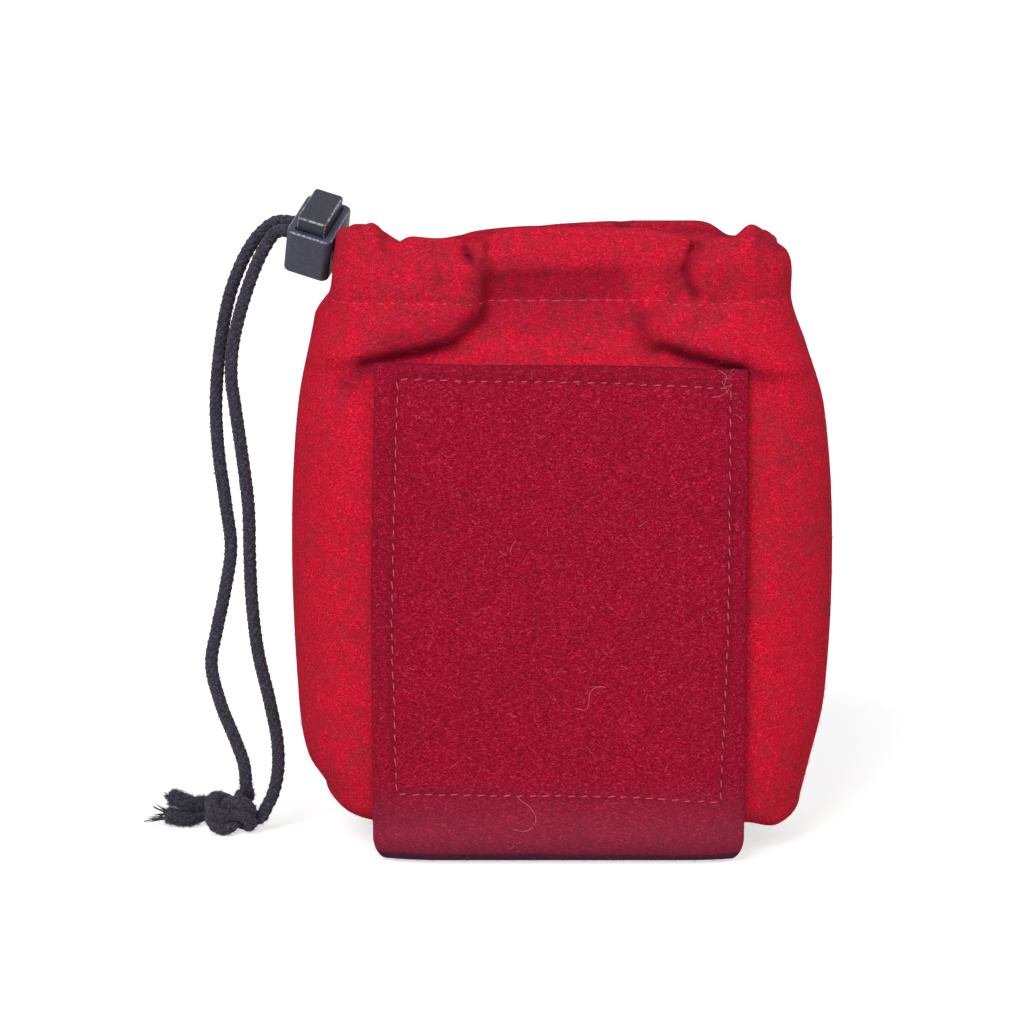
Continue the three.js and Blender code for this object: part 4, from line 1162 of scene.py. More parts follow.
class POUCH_OT_stage(bpy.types.Operator):
    """Sets the camera at the photograph's angle over a plain pale floor with soft light"""

    bl_idname = "pouch.stage"
    bl_label = "Stage"

    def execute(self, context):
        scene, stage = context.scene, context.scene.pouch_stage
        data = bpy.data.cameras.new("Camera")
        data.sensor_width, data.sensor_fit = SENSOR_WIDTH, "HORIZONTAL"
        data.lens = SENSOR_WIDTH * FOCAL_PIXELS / FRAME_PIXELS
        camera = link_new("Camera", data)
        back = Vector((0, -math.cos(stage.elevation), math.sin(stage.elevation)))
        camera.location = Vector(CAMERA_AIM) + back * stage.distance
        camera.rotation_euler = (math.pi / 2 - stage.elevation, 0, 0)
        scene.camera = camera
        scene.view_settings.view_transform = "Standard"
        self.lay_floor(stage)
        self.light(scene)
        return {"FINISHED"}

    def lay_floor(self, stage):
        """A flat floor that shows white where no shadow falls."""
        far = FLOOR_REACH
        corners = [(-far, -far, 0), (far, -far, 0), (far, far, 0), (-far, far, 0)]
        floor = make_mesh("Floor", corners, [(0, 1, 2, 3)], outward=False)
        tree = new_tree("Pale floor")
        matt = add_node(tree, "ShaderNodeBsdfDiffuse", {"Color": (*stage.floor, 1)})
        strength = scaled(tree, shown_white(tree), FLOOR_GLOW)
        glow = add_node(tree, "ShaderNodeEmission", {"Color": (1, 1, 1, 1), "Strength": strength})
        both = add_node(tree, "ShaderNodeAddShader", {0: matt.outputs[0], 1: glow.outputs[0]})
        add_node(tree, "ShaderNodeOutputMaterial", {0: both.outputs[0]})
        floor.data.materials.append(bpy.data.materials["Pale floor"])
        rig.stage(floor)

    def light(self, scene):
        """A wide soft key from the upper left, a weaker one from the right, and a pale sky."""
        for name, strength, spread, azimuth, elevation in (
            ("Key", 2.2, 26, -22, 38), ("Fill", 0.85, 60, 42, 25),
        ):
            data = bpy.data.lights.new(name, "SUN")
            data.energy, data.angle = strength, math.radians(spread)
            lamp = link_new(name, data)
            lamp.rotation_euler = (math.radians(90 - elevation), 0, math.radians(azimuth))
        world = bpy.data.worlds.new("Pale sky")
        world.use_nodes = True
        tree = world.node_tree
        tree.nodes.clear()
        inputs = {0: shown_white(tree)}
        for index, strength in ((1, SKY_LIGHT), (2, 1.0)):
            white = {"Color": (1, 1, 1, 1), "Strength": strength}
            inputs[index] = add_node(tree, "ShaderNodeBackground", white).outputs[0]
        mix = add_node(tree, "ShaderNodeMixShader", inputs)
        add_node(tree, "ShaderNodeOutputWorld", {0: mix.outputs[0]})
        scene.world = world


class POUCH_OT_materials(bpy.types.Operator):
    """Builds the shared shader groups and every finish"""

    bl_idname = "pouch.materials"
    bl_label = "Materials"

    def execute(self, context):
        scene = context.scene
        cloth, felt, cord, lock = scene.pouch_cloth, scene.pouch_felt, scene.pouch_cord, scene.pouch_lock
        fibre_mat_group()
        box_edge_group()
        wool_material(cloth)
        felt_material(felt)
        hair_material("Red hairs", cloth.pale_fibre, 0.45)
        hair_material("Crimson hairs", felt.pale_fibre, 0.45)
        hair_material("Pale lint", (0.66, 0.17, 0.23), 0.8)
        # Dark marks that paint the shade inside the needle holes.
        hair_material("Needle holes", felt.dark_fibre, 0.6)
        thread_material("Sewing thread", felt.thread)
        cord_material("Black braid", cord)
        cord_material("Black threads", cord, 1.3)
        plastic_material("Housing plastic", lock, LOCK_SIZE, LOCK_SIZE[2])
        plastic_material("Plunger plastic", lock, PLUNGER_SIZE, PLUNGER_TOP, 0.42)
        steel_material()
        return {"FINISHED"}


def lace_in_lock(sideways, along):
    """A point on a cord in the lock, in the part's frame."""
    local = np.array((along, sideways * CORD_PITCH / 2, CORD_HEIGHT_IN_LOCK))
    return LOCK_ORIGIN + local @ LOCK_AXES


def knot_strand(stack, entry):
    """One strand's way through the knot: a turn of a trefoil, x = sin t + 2 sin 2t and
    y = 2 cos 2t - cos t, with height sin 3t."""
    t = np.linspace(np.pi + 0.6, 3 * np.pi - 0.6, 17)
    turn = np.stack([
        KNOT_SPREAD * (np.sin(t) + 2 * np.sin(2 * t)),
        -KNOT_SPREAD * (np.cos(t) - 2 * np.cos(2 * t)),
        -KNOT_HEIGHT * np.sin(3 * t) + stack,
    ], 1)
    leave = [(-3.4, 4.9, stack - 0.1), (-6.2, 5.0, stack - 0.55)]
    return np.vstack([entry, turn, leave]) + KNOT_CENTRE


def strand_parts(sideways, tail, entry, end):
    """One strand from the lock to its frayed end, cut into tail, knot and end: three runs of the same
    line, each as (points, length before each point)."""
    start = [lace_in_lock(sideways, along) for along in (EXIT_ALONG, 2, -2, -5, -7)]
    knot = knot_strand(sideways * KNOT_STACK, entry)
    line, at = even_points(smooth_route(np.vstack([start, tail, knot, end])), 0.28)
    into = np.linalg.norm(line - tail[-1], axis=1).argmin()
    out = np.linalg.norm(line - end[0], axis=1).argmin()
    return [(line[a:b], at[a:b]) for a, b in ((0, into + 1), (into, out + 1), (out, len(line)))]


def channel_route():
    """The cord's way round the mouth, inside the channel."""
    middle = CLOTH + CHANNEL_DEPTH / 2 + 0.35
    around_front = np.concatenate([[-0.82, -0.75], np.linspace(-0.68, 0.72, 40), [0.84, 0.94]])
    around_back = np.array([
        0.94, 0.84, 0.72, 0.6, 0.45, 0.3, 0.15, 0, -0.15, -0.3, -0.45, -0.58, -0.68, -0.78, -0.87,
    ])
    front = cloth_point(FRONT, around_front, CORD_LEVEL, middle, CORD_LEVEL)
    for _ in range(3):
        front[1:-1] = (front[:-2] + 2 * front[1:-1] + front[2:]) / 4
    level = CORD_LEVEL - BACK["cord_dip"] * bump(around_back, -0.48, 0.22)
    back = cloth_point(BACK, around_back, CORD_LEVEL, middle, level)
    start = [
        lace_in_lock(-1, EXIT_ALONG), lace_in_lock(-1, EXIT_ALONG + 1.2),
        (6.4 - MOUTH_LEFT, -3.2, CORD_LEVEL + 1.2),
    ]
    stop = [
        (9.4 - MOUTH_LEFT, 0.6, CORD_LEVEL + 2.2),
        lace_in_lock(1, EXIT_ALONG + 2.2), lace_in_lock(1, EXIT_ALONG),
    ]
    return np.vstack([start, front, back, stop])


def declare_cord(piece, line, cord, far_end, with_pieces):
    """States a cord's length, measured along its line, and the pieces that go with it."""
    path = (line - (BULGE_SHIFT, 0, 0)) * MM
    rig.cord(
        piece, exit=tuple(path[0]), length=round(float(length_along(path)[-1]), 4), diameter=cord.diameter,
        far_end=far_end, stiffness="limp", lay="hanging", path=path.tolist(), with_pieces=with_pieces,
    )


class POUCH_OT_cords(bpy.types.Operator):
    """Braids both tails, the knot, the frayed ends and the cord round the mouth"""

    bl_idname = "pouch.cords"
    bl_label = "Cords"

    def execute(self, context):
        cord = context.scene.pouch_cord
        radius, braid = cord.diameter / 2 / MM, (cord.strands, cord.braid / MM)
        rear = strand_parts(1, REAR_TAIL_ROUTE, REAR_KNOT_ENTRY, UPPER_END_ROUTE)
        front = strand_parts(-1, FRONT_TAIL_ROUTE, FRONT_KNOT_ENTRY, LOWER_END_ROUTE)
        tails = []
        for name, node, (line, at) in (
            ("rear_tail", "cord_tail_rear", rear[0]), ("front_tail", "cord_tail_front", front[0]),
        ):
            tail = self.braid_piece(name, node, braided_tube(line, at, radius, braid))
            tails.append([tail, self.grow_nap(tail, 1500, 51, (0.25, 0.8))])
        knot = self.tie_knot(rear[1], front[1], radius, braid)
        knot_nap = self.grow_nap(knot, 2600, 53, (0.4, 1.3))
        upper = self.fray_end("upper_end", "cord_end_upper", *rear[2], radius, braid, 5)
        lower = self.fray_end("lower_end", "cord_end_lower", *front[2], radius, braid, 6)
        declare_cord(tails[0][0], rear[0][0], cord, "knot", [tails[0][1], knot, knot_nap, *upper])
        declare_cord(tails[1][0], front[0][0], cord, "knot", [tails[1][1], *lower])
        line, at = even_points(smooth_route(channel_route()), 0.3)
        tube = braided_tube(line, at, radius, braid, sides=24, relief=0.24)
        declare_cord(self.braid_piece("mouth_cord", "drawstring_loop", tube), line, cord, "object", [])
        return {"FINISHED"}

    def braid_piece(self, name, node, tube):
        return finish_piece(make_mesh(name, *tube), "Black braid", "black_cord", replaced=[node])

    def grow_nap(self, piece, count, seed, length):
        """Short fibres that stand off the braid, none of them near the lock."""
        def accept(places, normals):
            return (np.linalg.norm(places - LOCK_ORIGIN, axis=1) > NAP_FREE_RADIUS).astype(float)
        return grow_hairs(
            piece, piece.name + "_nap", count, seed, accept, 0.045, "Black threads", "black_cord",
            tip=0.4, length=length, lift=0.5,
        )

    def tie_knot(self, rear, front, radius, braid):
        """Both strands' turns in one mesh, a little fuller where they are crushed against each other."""
        tubes = []
        for line, at in (rear, front):
            tight = 1 + 0.1 * bump(np.linspace(-1, 1, len(line)), 0, 0.6)
            tubes.append(braided_tube(line, at, radius * tight, braid))
        return self.braid_piece("overhand_knot", "cord_knot", joined(*tubes))

    def fray_end(self, name, node, line, at, radius, braid, seed):
        """The braid opens towards its end: it swells, and its threads splay out of it in clumps."""
        share = np.linspace(0, 1, len(line))
        swell = radius * (1.02 + 0.26 * rise(share, 0.15, 0.6) - 0.5 * rise(share, 0.94, 1.02))
        random = np.random.default_rng(seed)
        shaken = line + random.normal(0, 0.03, line.shape) * rise(share, 0.3, 1)[:, None]
        shaken[:, 2] = np.maximum(shaken[:, 2] + 0.12, swell + 0.15)
        piece = self.braid_piece(name, node, braided_tube(shaken, at, swell, braid))
        nap = self.grow_nap(piece, 1300, seed, (0.4, 1.3))
        tip, back = shaken[-1], shaken[-1] - shaken[-12]
        back /= np.linalg.norm(back)
        clumps, each = 6, 14
        count = clumps * each

        def for_each(values):
            return np.repeat(values, each, axis=0)

        aims = for_each(back + random.normal(0, 0.42, (clumps, 3)))
        roots = for_each(random.normal(0, 0.55, (clumps, 3))) * radius
        root = tip - back * random.uniform(0.6, 2.2, (count, 1)) + roots + random.normal(0, 0.16, (count, 3))
        aim = aims + random.normal(0, 0.14, (count, 3))
        long = for_each(random.uniform(1.2, 2.8, (clumps, 1))) * random.uniform(0.7, 1.05, (count, 1))
        curl = for_each(random.normal(0, 0.3, (clumps, 1, 3))) + random.normal(0, 0.12, (count, 1, 3))
        t = np.linspace(0, 1, 5)[None, :, None]
        paths = root[:, None] + (aim * long)[:, None] * t + curl * long[:, None] * t**2 * 0.5
        paths[..., 2] = np.maximum(paths[..., 2], 0.2)
        threads = thread_piece(
            name + "_threads", paths, 0.14, 1 - 0.55 * t[..., 0], "Black threads", "black_cord", 4,
        )
        return [piece, nap, threads]


class POUCH_OT_felt(bpy.types.Operator):
    """Makes the felt strip that wraps front, base and back, with its hairs and lint"""

    bl_idname = "pouch.felt"
    bl_label = "Felt strip"

    def execute(self, context):
        felt = context.scene.pouch_felt
        piece = self.fold_strip()
        self.press(piece)
        finish_piece(piece, "Crimson felt", "crimson_felt", replaced=["felt_wrap"])
        hairs = grow_hairs(
            piece, "felt_hairs", felt.fuzz, 31, self.outside, 0.022, "Crimson hairs", "crimson_felt",
        )
        lint = self.lay_lint(piece)
        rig.sheet(piece, flat=(0.087, 0.28), held="folded", rests_on=["Floor"], with_pieces=[hairs, lint])
        return {"FINISHED"}

    def lay_lint(self, piece):
        """The curls of pale thread caught on the front, and longer loose hairs all over."""
        paths = []
        for points in LINT:
            line = np.insert(np.array(points, float), 1, 0, axis=1)
            line = even_points(smooth_route(line), 1)[0]
            at = np.linspace(0, len(line) - 1, 25)
            x, z = (np.interp(at, np.arange(len(line)), line[:, k]) for k in (0, 2))
            paths.append(felt_face(FRONT, x, z, 0.12 + 0.1 * np.sin(at)))
        taper = np.minimum(1, 0.4 + 4 * np.sin(np.linspace(0.05, np.pi - 0.05, 25)))
        curls = thin_tubes(np.array(paths), 0.06 * taper, 4)
        places, normals = surface_samples(piece, 60, 32, self.outside)
        loose = fuzz_paths(places, normals, 32, length=(1.5, 3.6), lift=0.12)
        hairs = thin_tubes(loose, 0.035 * np.array([1, 1, 0.9, 0.7, 0.35]), 4)
        lint = make_mesh("felt_lint", *joined(curls, hairs), outward=False)
        return finish_piece(lint, "Pale lint", "crimson_felt")

    def outside(self, places, normals):
        """Hairs grow on faces that look outwards, and some at the top edge."""
        return (places[:, 1] * normals[:, 1] > 0).astype(float) + (places[:, 2] > 117) * 0.6 + 1e-6

    def press(self, piece):
        """The attribute that darkens the felt: painted shade along the seam, and darker outside it and at the top edge.
        """
        x, _, z = mesh_points(piece).T
        on_wall = z > FOLD_HEIGHT
        height = z - felt_top(x) * on_wall
        inside = inside_distance(x, height, STITCH_CORNERS)
        # Painted shade along the seam's dent and thread.
        seam_shade = 0.4 * bump(inside, -0.3, 0.8)
        margin = 0.1 * (1 - rise(inside, -1, 0)) * (height > FOLD_HEIGHT)
        cut_edge = 0.12 * rise(height, FELT_TOP - 1.3, FELT_TOP - 0.2)
        keep_attribute(piece, "pressed", seam_shade + margin + cut_edge)

    def section(self):
        """The strip's cross-section as (u, layer): u runs from -1 to 1 across it, and layer from 0 at the
        cloth to 1 outside. Its long edges are rounded off over half a millimetre."""
        r, half, thick = 0.55, FELT_WIDTH / 2, FELT_THICKNESS
        flat = np.linspace(-(half - r), half - r, SECTION_POINTS)
        arc = np.linspace(np.pi / 2, 0, 6)[1:]
        high = np.stack([half - r + r * np.cos(arc), thick - r + r * np.sin(arc)], 1)
        side = np.array([(half + 0.12, thick * 0.62), (half + 0.12, thick * 0.38)])
        low = np.stack([half - r + r * np.cos(arc[::-1]), r - r * np.sin(arc[::-1])], 1)
        top = np.stack([flat, np.full_like(flat, thick)], 1)
        bottom = np.stack([flat[::-1], np.zeros_like(flat)], 1)
        right = np.vstack([high, side, low])
        ring = np.vstack([top, right, bottom, right[::-1] * (-1, 1)])
        return ring[:, 0] / half, ring[:, 1] / thick

    def fold_strip(self):
        """Sections down the front, round the fold, across the base and up the back, with closed ends."""
        u, layer = self.section()
        count = len(u)
        steps = np.concatenate([
            np.array([0, 0.12, 0.35, 0.7, TOP_ROUNDING]) / FELT_WALL, np.linspace(0.016, 1, 96)[1:],
        ])
        way = [("wall", s) for s in steps] + [("fold", s) for s in np.linspace(0, 1, 16)[1:]]
        front, back = ([felt_row(half, u, layer, kind, s) for kind, s in way] for half in (FRONT, BACK))
        across = [front[-1] + (back[-1] - front[-1]) * s for s in np.linspace(0, 1, 14)[1:-1]]
        grid = np.array(front + across + back[::-1])
        faces = [tube_faces(len(grid), count)]
        for quads in self.end_quads(count):
            faces += [quads, quads + (len(grid) - 1) * count]
        return make_mesh("felt_strip", grid.reshape(-1, 3), np.vstack(faces))

    def end_quads(self, count):
        """Quads over one end of the strip, between matching points of its outer and inner edges: over
        the flat, then over the rounded parts at its right and its left."""
        arc = count // 2 - SECTION_POINTS
        over, round_off = np.arange(SECTION_POINTS - 1), np.arange(arc // 2)
        pairs = [
            (over, 2 * SECTION_POINTS - 1 + arc - over),
            (SECTION_POINTS - 1 + round_off, SECTION_POINTS + arc - round_off),
            (2 * SECTION_POINTS + arc - 1 + round_off, (count - round_off) % count),
        ]
        found = []
        for near, far in pairs:
            quads = np.stack([near, near + 1, (far - 1) % count, far], 1)
            found.append(quads[[len(set(quad)) == 4 for quad in quads]])
        return found


def felt_row(half, u, layer, kind, share):
    """One cross-section of the felt strip. On a wall it follows the cloth at the strip's own distance,
    in the fold it turns a quarter circle under the base."""
    if kind == "wall":
        height = FELT_TOP - share * (FELT_TOP - FOLD_HEIGHT)
        rounding = 1 - 0.35 * (1 - min(1.0, share * FELT_WALL / TOP_ROUNDING)) ** 2
        return felt_at(half, felt_x(u, height), height, (0.5 + (layer - 0.5) * rounding) * FELT_THICKNESS)
    angle = share * np.pi / 2
    inset = BASE_FOLD_RADIUS - (BASE_FOLD_RADIUS + FELT_SEAT + layer * FELT_THICKNESS) * np.cos(angle)
    x = felt_x(u, FOLD_HEIGHT)
    x = x - np.sign(u) * FOLD_CORNER_PULL * rise(np.abs(u), 0.86, 1) * rise(share, 0.25, 0.95)
    z = FOLD_HEIGHT - (BASE_FOLD_RADIUS + GAP + layer * FELT_THICKNESS) * np.sin(angle)
    return np.stack([x, plain_y(half, x, FOLD_HEIGHT, inset), z], -1)


def felt_x(u, height):
    """The strip bows a little: it is narrower at its top, which lies half a millimetre to the right."""
    near_top = rise(height, 70, 118)
    return u * FELT_WIDTH / 2 * (1 - 0.01 * near_top) + 0.5 * near_top


def felt_top(x):
    """The strip's top edge falls from left to right, mostly near its corners."""
    return 0.7 * (1 - rise(x, -44, -12)) - 0.9 * rise(x, 8, 44)


def felt_dents(half, x, height):
    """The seam pulls the felt in by a third of a millimetre, and handling leaves it a little uneven."""
    seam = 0.38 * bump(line_distance(x, height, [*STITCH_CORNERS, STITCH_CORNERS[0]]), 0, 0.9)
    return seam + wrinkles(x, height, 14 if half is FRONT else 15, 0.12)


def felt_at(half, x, height, lift):
    """A point of the felt's wall, lifted so far off its inner face."""
    y = plain_y(half, x, height, -(FELT_SEAT + lift)) - half["side"] * felt_dents(half, x, height)
    share = (FELT_TOP - height) / (FELT_TOP - FOLD_HEIGHT)
    return np.stack([x, y, height + felt_top(x) * (1 - rise(share, 0.0, 0.5))], -1)


def felt_face(half, x, height, lift):
    """A point of the felt's outer face, or lifted off it."""
    return felt_at(half, x, height, FELT_THICKNESS + lift)


class POUCH_OT_cloth(bpy.types.Operator):
    """Makes the two stuffed cloth halves with their gathers, hem and cord channel"""

    bl_idname = "pouch.cloth"
    bl_label = "Cloth halves"

    def execute(self, context):
        cloth = context.scene.pouch_cloth
        for name, node, half, seed in (
            ("front_cloth", "front_body", FRONT, 21), ("back_cloth", "back_body", BACK, 22),
        ):
            piece = self.sew_half(name, half, cloth.wrinkle / MM)
            finish_piece(piece, "Red wool", "red_cloth", replaced=[node])
            hairs = grow_hairs(
                piece, name + "_hairs", cloth.fuzz, seed, self.outside(half), cloth.fibre / MM / 2,
                "Red hairs", "red_cloth",
            )
            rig.sheet(piece, flat=(0.162, 0.19), held="gathered", rests_on=["felt_strip"], with_pieces=[hairs])
        return {"FINISHED"}

    def outside(self, half):
        """Hairs grow on the outer face and the rim."""
        def accept(places, normals):
            x, y, z = places.T
            on_face = (np.abs(y) > 3) & (normals[:, 1] * half["side"] > -0.15)
            on_side = (np.abs(x) > 46) & (normals[:, 0] * x > 0)
            on_rim = (z > 147) & (normals[:, 2] > 0.2)
            return (on_face | on_side | on_rim).astype(float) + 1e-6
        return accept

    def columns(self):
        """Even columns across the flat middle and finer ones round the ends, from -1 to 1."""
        middle = np.linspace(-FLAT_SHARE, FLAT_SHARE, 181)
        end = FLAT_SHARE + (1 - FLAT_SHARE) * np.linspace(0, 1, 33)[1:]
        return np.concatenate([-end[::-1], middle, end])

    def outer_stations(self):
        """(height, inset, z) from the middle of the base up the outside to the rim's roll."""
        half_depth = float(profile(HALF_DEPTH, FOLD_HEIGHT))
        reach = BASE_FOLD_RADIUS + (half_depth - BASE_FOLD_RADIUS) * np.linspace(1, 0.06, 14)
        base = stations(FOLD_HEIGHT, reach, BASE_HEIGHT)
        angle = np.linspace(np.pi / 2, 0, 10)
        fold = stations(
            FOLD_HEIGHT, BASE_FOLD_RADIUS * (1 - np.cos(angle)),
            FOLD_HEIGHT - BASE_FOLD_RADIUS * np.sin(angle),
        )
        z = np.concatenate([
            np.linspace(FOLD_HEIGHT, GATHER_LEVEL, 74)[1:],
            np.linspace(GATHER_LEVEL, RIM_ROLL_CENTRE, 66)[1:],
        ])
        return np.vstack([base, fold, stations(z, 0, z)])

    def rim_stations(self):
        """Half a turn over the rim, to the hem's inner ply."""
        angle = np.linspace(0, np.pi, 12)[1:]
        return stations(
            RIM_ROLL_CENTRE, RIM_FOLD_RADIUS * (1 - np.cos(angle)),
            RIM_ROLL_CENTRE + RIM_FOLD_RADIUS * np.sin(angle),
        )

    def channel_inset(self, z):
        """Half an ellipse, which the cord fills out."""
        away = (z - CORD_LEVEL) / (CORD_LEVEL - CHANNEL_STITCH)
        return CHANNEL_DEPTH * np.sqrt(np.maximum(0, 1 - away**2))

    def inner_stations(self):
        """Down the hem's inner ply, round its raw edge, down the inside wall and in over the base."""
        z = np.linspace(RIM_ROLL_CENTRE, CHANNEL_LOW, 18)[1:]
        full = CLOTH + HEM_PLY + self.channel_inset(z)
        start = 2 * RIM_FOLD_RADIUS
        hem = stations(z, start + (full - start) * (1 - rise(z, CHANNEL_HIGH, RIM_ROLL_CENTRE)), z)
        low = CHANNEL_STITCH - HEM_TAIL
        z = np.array([CHANNEL_STITCH, low + 0.3, low, low])
        edge = stations(z, CLOTH + np.array([HEM_PLY + 0.2, HEM_PLY, HEM_PLY - 0.3, 0]), z)
        z = np.linspace(low - 1, FOLD_HEIGHT, 46)
        wall = stations(z, CLOTH, z)
        radius = BASE_FOLD_RADIUS - CLOTH
        angle = np.linspace(0, np.pi / 2, 7)[1:]
        fold = stations(
            FOLD_HEIGHT, BASE_FOLD_RADIUS - radius * np.cos(angle), FOLD_HEIGHT - radius * np.sin(angle),
        )
        half_depth = float(profile(HALF_DEPTH, FOLD_HEIGHT))
        reach = BASE_FOLD_RADIUS + (half_depth - BASE_FOLD_RADIUS) * np.linspace(0.1, 1, 8)
        return np.vstack([hem, edge, wall, fold, stations(FOLD_HEIGHT, reach, BASE_HEIGHT + CLOTH)])

    def channel_stations(self):
        """Up the channel's outer ply, over its top and down the hem's ply."""
        up = np.linspace(CHANNEL_LOW, CHANNEL_HIGH, 12)
        down = np.linspace(CHANNEL_HIGH, CHANNEL_LOW, 12)[:-1]
        return np.vstack([
            stations(up, CLOTH, up), [(CHANNEL_TOP, CLOTH + 0.4, CHANNEL_TOP)],
            stations(down, CLOTH + self.channel_inset(down), down),
        ])

    def sew_half(self, name, half, wrinkle):
        """Closed sections of the cloth and of its channel, carried from seam to seam, and flat caps with
        the channel's opening at both seams. The slit for the cords is cut along the lock's axis."""
        columns = self.columns()
        loops = [
            np.vstack([self.outer_stations(), self.rim_stations(), self.inner_stations()]),
            self.channel_stations(),
        ]
        points, quads, caps, start, grids, starts = [], [], [], 0, [], []
        for loop in loops:
            height, inset, z = loop.T[:, None]
            grid = cloth_point(half, columns[:, None], height, inset, z, wrinkle)
            # The solids leave a gap at the side seams. The cloth closes it over the last 3 mm.
            at_seam = 1 - rise(np.abs(grid[..., 1]), SEAM_GAP / 2, 3)
            grid[..., 1] -= half["side"] * SEAM_GAP / 2 * at_seam
            points.append(grid.reshape(-1, 3))
            quads.append(tube_faces(len(columns), len(loop), start))
            grids.append(grid)
            starts.append(start)
            start += len(columns) * len(loop)
        for column in (0, len(columns) - 1):
            flat = [[Vector((x, z, 0)) for x, _, z in grid[column]] for grid in grids]
            index = np.concatenate([
                first + column * len(loop) + np.arange(len(loop)) for first, loop in zip(starts, loops)
            ])
            caps.append(index[np.array(tessellate_polygon(flat))])
        piece = make_mesh(name, np.vstack(points), np.vstack(quads), np.vstack(caps))
        self.cut_slit(piece)
        x, y, z = mesh_points(piece).T
        out = half["side"] * y
        # Painted shade in the front's folds and along the back's creases, on the outer face from 100 mm up.
        dull = painted_shade_share(half, x, z) * (out > 4) * rise(z, 100, 108)
        # On the back, a painted shadow on the top of its rim, where the front's rim stands in front of it.
        if half is BACK:
            dull = dull + 0.22 * rise(z, 144, 146) * rise(-out, -13, -9)
        keep_attribute(piece, "dull", dull)
        return piece

    def cut_slit(self, piece):
        """A stadium section carried 9 mm along the lock's axis, taken out of the cloth."""
        radius, reach = 1.5 + GAP, CORD_PITCH / 2
        angle = np.linspace(-np.pi / 2, np.pi / 2, 9)
        right = np.stack([reach + radius * np.cos(angle), radius * np.sin(angle)], 1)
        section = np.vstack([right, -right])
        count = len(section)
        local = np.concatenate([np.insert(section, 0, along, axis=1) for along in (5.5, 14.5)])
        local = local + (0, 0, CORD_HEIGHT_IN_LOCK)
        fan = np.array([(0, k, k + 1) for k in range(1, count - 1)])
        caps = np.vstack([fan, fan[:, (0, 2, 1)] + count])
        cutter = make_mesh("slit", LOCK_ORIGIN + local @ LOCK_AXES, tube_faces(2, count), caps)
        cut = piece.modifiers.new("slit", "BOOLEAN")
        cut.operation, cut.solver, cut.object = "DIFFERENCE", "EXACT", cutter
        made = bpy.data.meshes.new_from_object(piece.evaluated_get(bpy.context.evaluated_depsgraph_get()))
        piece.modifiers.clear()
        if len(made.polygons) < 0.9 * len(piece.data.polygons):
            raise RuntimeError("the slit for the cords could not be cut")
        piece.data = made
        bpy.data.objects.remove(cutter)


def stations(height, inset, z):
    """Rows of (height, inset, z)."""
    return np.stack(np.broadcast_arrays(height, inset, z), 1).astype(float)


class POUCH_OT_stitches(bpy.types.Operator):
    """Sews the felt's rectangle on both faces and the hem's line round the mouth"""

    bl_idname = "pouch.stitches"
    bl_label = "Stitches"

    def execute(self, context):
        felt = context.scene.pouch_felt
        pitch, long = felt.pitch / MM, felt.stitch / MM
        sides = [
            even_points(np.array([(x, 0, z) for x, z in side], float), pitch)[0] for side in STITCH_SIDES
        ]
        start = np.vstack([line[:-1] for line in sides])
        aim = np.vstack([np.diff(line, axis=0) for line in sides])
        aim /= np.linalg.norm(aim, axis=1)[:, None]
        random = np.random.default_rng(41)
        parts, holes = [], []
        for half in (FRONT, BACK):
            middle = start + aim * pitch / 2 + random.normal(0, 0.07, start.shape)
            slant = random.normal(0.13, 0.05, (len(aim), 1))
            across = np.stack([-aim[:, 2], aim[:, 1], aim[:, 0]], 1)
            t = np.linspace(-0.5, 0.5, 7)[None, :, None]
            own = long * random.uniform(0.85, 1.1, (len(aim), 1, 1))
            path = middle[:, None] + t * own * (aim + slant * across)[:, None]
            up = 0.24 * np.cos(np.pi * t[..., 0]) - 0.08
            parts.append(felt_face(half, path[..., 0], path[..., 2], up))
            # Painted shade in the needle holes: a dark mark between each two stitches, sunk into the felt.
            t = np.linspace(-0.42, 0.42, 5)[None, :, None]
            hole = (middle - aim * pitch / 2)[:, None] + t * aim[:, None]
            holes.append(felt_face(half, hole[..., 0], hole[..., 2], np.full((1, 5), -0.12)))
        thread_piece(
            "felt_stitches", np.vstack(parts), 0.16, STITCH_TAPER, "Sewing thread", "crimson_felt", 6,
        )
        thread_piece(
            "needle_hole_shade", np.vstack(holes), 0.24, [0.4, 0.85, 1, 0.85, 0.4], "Needle holes",
            "crimson_felt", 6,
        )
        self.sew_hem(pitch, long, context.scene.pouch_cloth.wrinkle / MM)
        return {"FINISHED"}

    def sew_hem(self, pitch, long, wrinkle):
        """Stitches on the channel's line, half sunk in the cloth's nap and deeper beside the pleat."""
        random = np.random.default_rng(42)
        parts = []
        for half, first, last in ((FRONT, -0.9, 0.93), (BACK, -0.88, 0.93)):
            columns = np.linspace(first, last, 400)
            along = length_along(cloth_point(half, columns, CHANNEL_STITCH, 0, CHANNEL_STITCH, wrinkle))
            starts = np.arange(1, along[-1] - pitch, pitch)[:, None]
            at = starts + np.linspace(0, 1, 7) * long * random.uniform(0.8, 1.05, starts.shape)
            column = np.interp(at, along, columns)
            middle = cloth_point(half, column[:, 3:4], CHANNEL_STITCH, 0, 0)[..., 0]
            shown = rise(middle, -18, -15) * (1 - rise(middle, 14, 18)) if half is FRONT else 0.5
            up = 0.1 * np.cos(np.pi * np.linspace(-0.5, 0.5, 7)) - 0.06 - 0.13 * (1 - shown)
            level = CHANNEL_STITCH - 0.5 + random.normal(0, 0.06, starts.shape)
            parts.append(cloth_point(half, column, level, -up, level, wrinkle))
        thread_piece("hem_stitches", np.vstack(parts), 0.13, STITCH_TAPER, "Sewing thread", "red_cloth", 6)


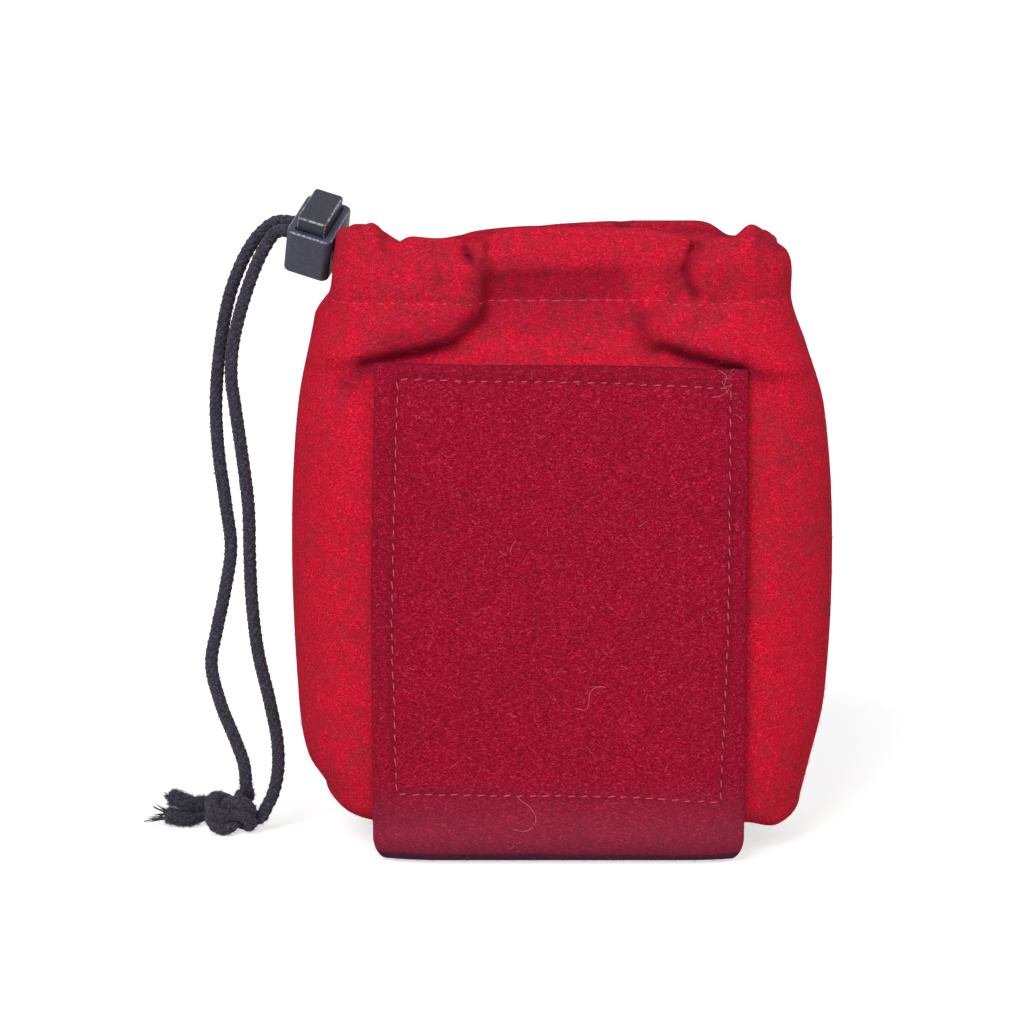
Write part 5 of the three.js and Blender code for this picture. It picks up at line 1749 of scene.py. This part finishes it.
class POUCH_OT_lock(bpy.types.Operator):
    """Gives the cord lock's housing and plunger their finishes, and winds its spring"""

    bl_idname = "pouch.lock"
    bl_label = "Cord lock"

    def execute(self, context):
        for node, finish in (("lock_housing", "Housing plastic"), ("lock_plunger", "Plunger plastic")):
            mesh = frame["nodes"][node].data
            mesh.materials.clear()
            mesh.materials.append(bpy.data.materials[finish])
        self.wind_spring()
        return {"FINISHED"}

    def wind_spring(self):
        """The spring's coil, (r cos 6 pi t, r sin 6 pi t, low + t (high - low)), which shortens under the
        plunger."""
        t = np.linspace(0, 1, 73)
        turn = 2 * np.pi * SPRING_TURNS * t
        foot, head = SPRING_ENDS
        low, high = foot + SPRING_WIRE / 2, head - SPRING_WIRE / 2
        local = np.stack([
            SPRING_RADIUS * np.cos(turn), SPRING_RADIUS * np.sin(turn), low + t * (high - low),
        ], 1)
        coil = thin_tubes((LOCK_ORIGIN + local @ LOCK_AXES)[None], SPRING_WIRE / 2, 10)
        spring = make_mesh("spring_coil", *coil)
        finish_piece(spring, "Spring steel", "spring_steel", "cord_lock", ["lock_spring"])
        anchor = (LOCK_ORIGIN - (BULGE_SHIFT, 0, 0) + LOCK_AXES[2] * foot) * MM
        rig.squash(
            spring, "button_press", axis=tuple(LOCK_AXES[2]), anchor=tuple(anchor),
            keep=1 - PRESS / (head - foot),
        )


class POUCH_PT_panel(bpy.types.Panel):
    """The pouch's pieces and sizes in the sidebar"""

    bl_label = "Drawstring pouch"
    bl_idname = "POUCH_PT_panel"
    bl_space_type = "VIEW_3D"
    bl_region_type = "UI"
    bl_category = "Pouch"

    def draw(self, context):
        for operator in OPERATORS:
            self.layout.operator(operator.bl_idname)
        for name in SETTINGS:
            group = getattr(context.scene, name)
            box = self.layout.box()
            for key in group.bl_rna.properties.keys():
                if key not in {"rna_type", "name"}:
                    box.prop(group, key)


SETTINGS = {
    "pouch_cloth": PouchCloth, "pouch_felt": PouchFelt, "pouch_cord": PouchCord,
    "pouch_lock": PouchLock, "pouch_stage": PouchStage,
}
OPERATORS = [
    POUCH_OT_stage, POUCH_OT_materials, POUCH_OT_cords, POUCH_OT_felt, POUCH_OT_cloth, POUCH_OT_stitches,
    POUCH_OT_lock,
]


def register():
    for item in [*SETTINGS.values(), *OPERATORS, POUCH_PT_panel]:
        bpy.utils.register_class(item)
    for name, group in SETTINGS.items():
        setattr(bpy.types.Scene, name, PointerProperty(type=group))


def unregister():
    for name in SETTINGS:
        delattr(bpy.types.Scene, name)
    for item in [POUCH_PT_panel, *reversed(OPERATORS), *reversed(list(SETTINGS.values()))]:
        bpy.utils.unregister_class(item)


def main():
    register()
    bpy.ops.pouch.stage()
    bpy.ops.pouch.materials()
    bpy.ops.pouch.cords()
    bpy.ops.pouch.felt()
    bpy.ops.pouch.cloth()
    bpy.ops.pouch.stitches()
    bpy.ops.pouch.lock()
    boxes = {"cad": CAD_BOX, "visual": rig.bounds()}
    with open("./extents.json", "w") as file:
        json.dump({name: [list(corner) for corner in box] for name, box in boxes.items()}, file)


if __name__ == "__main__":
    main()
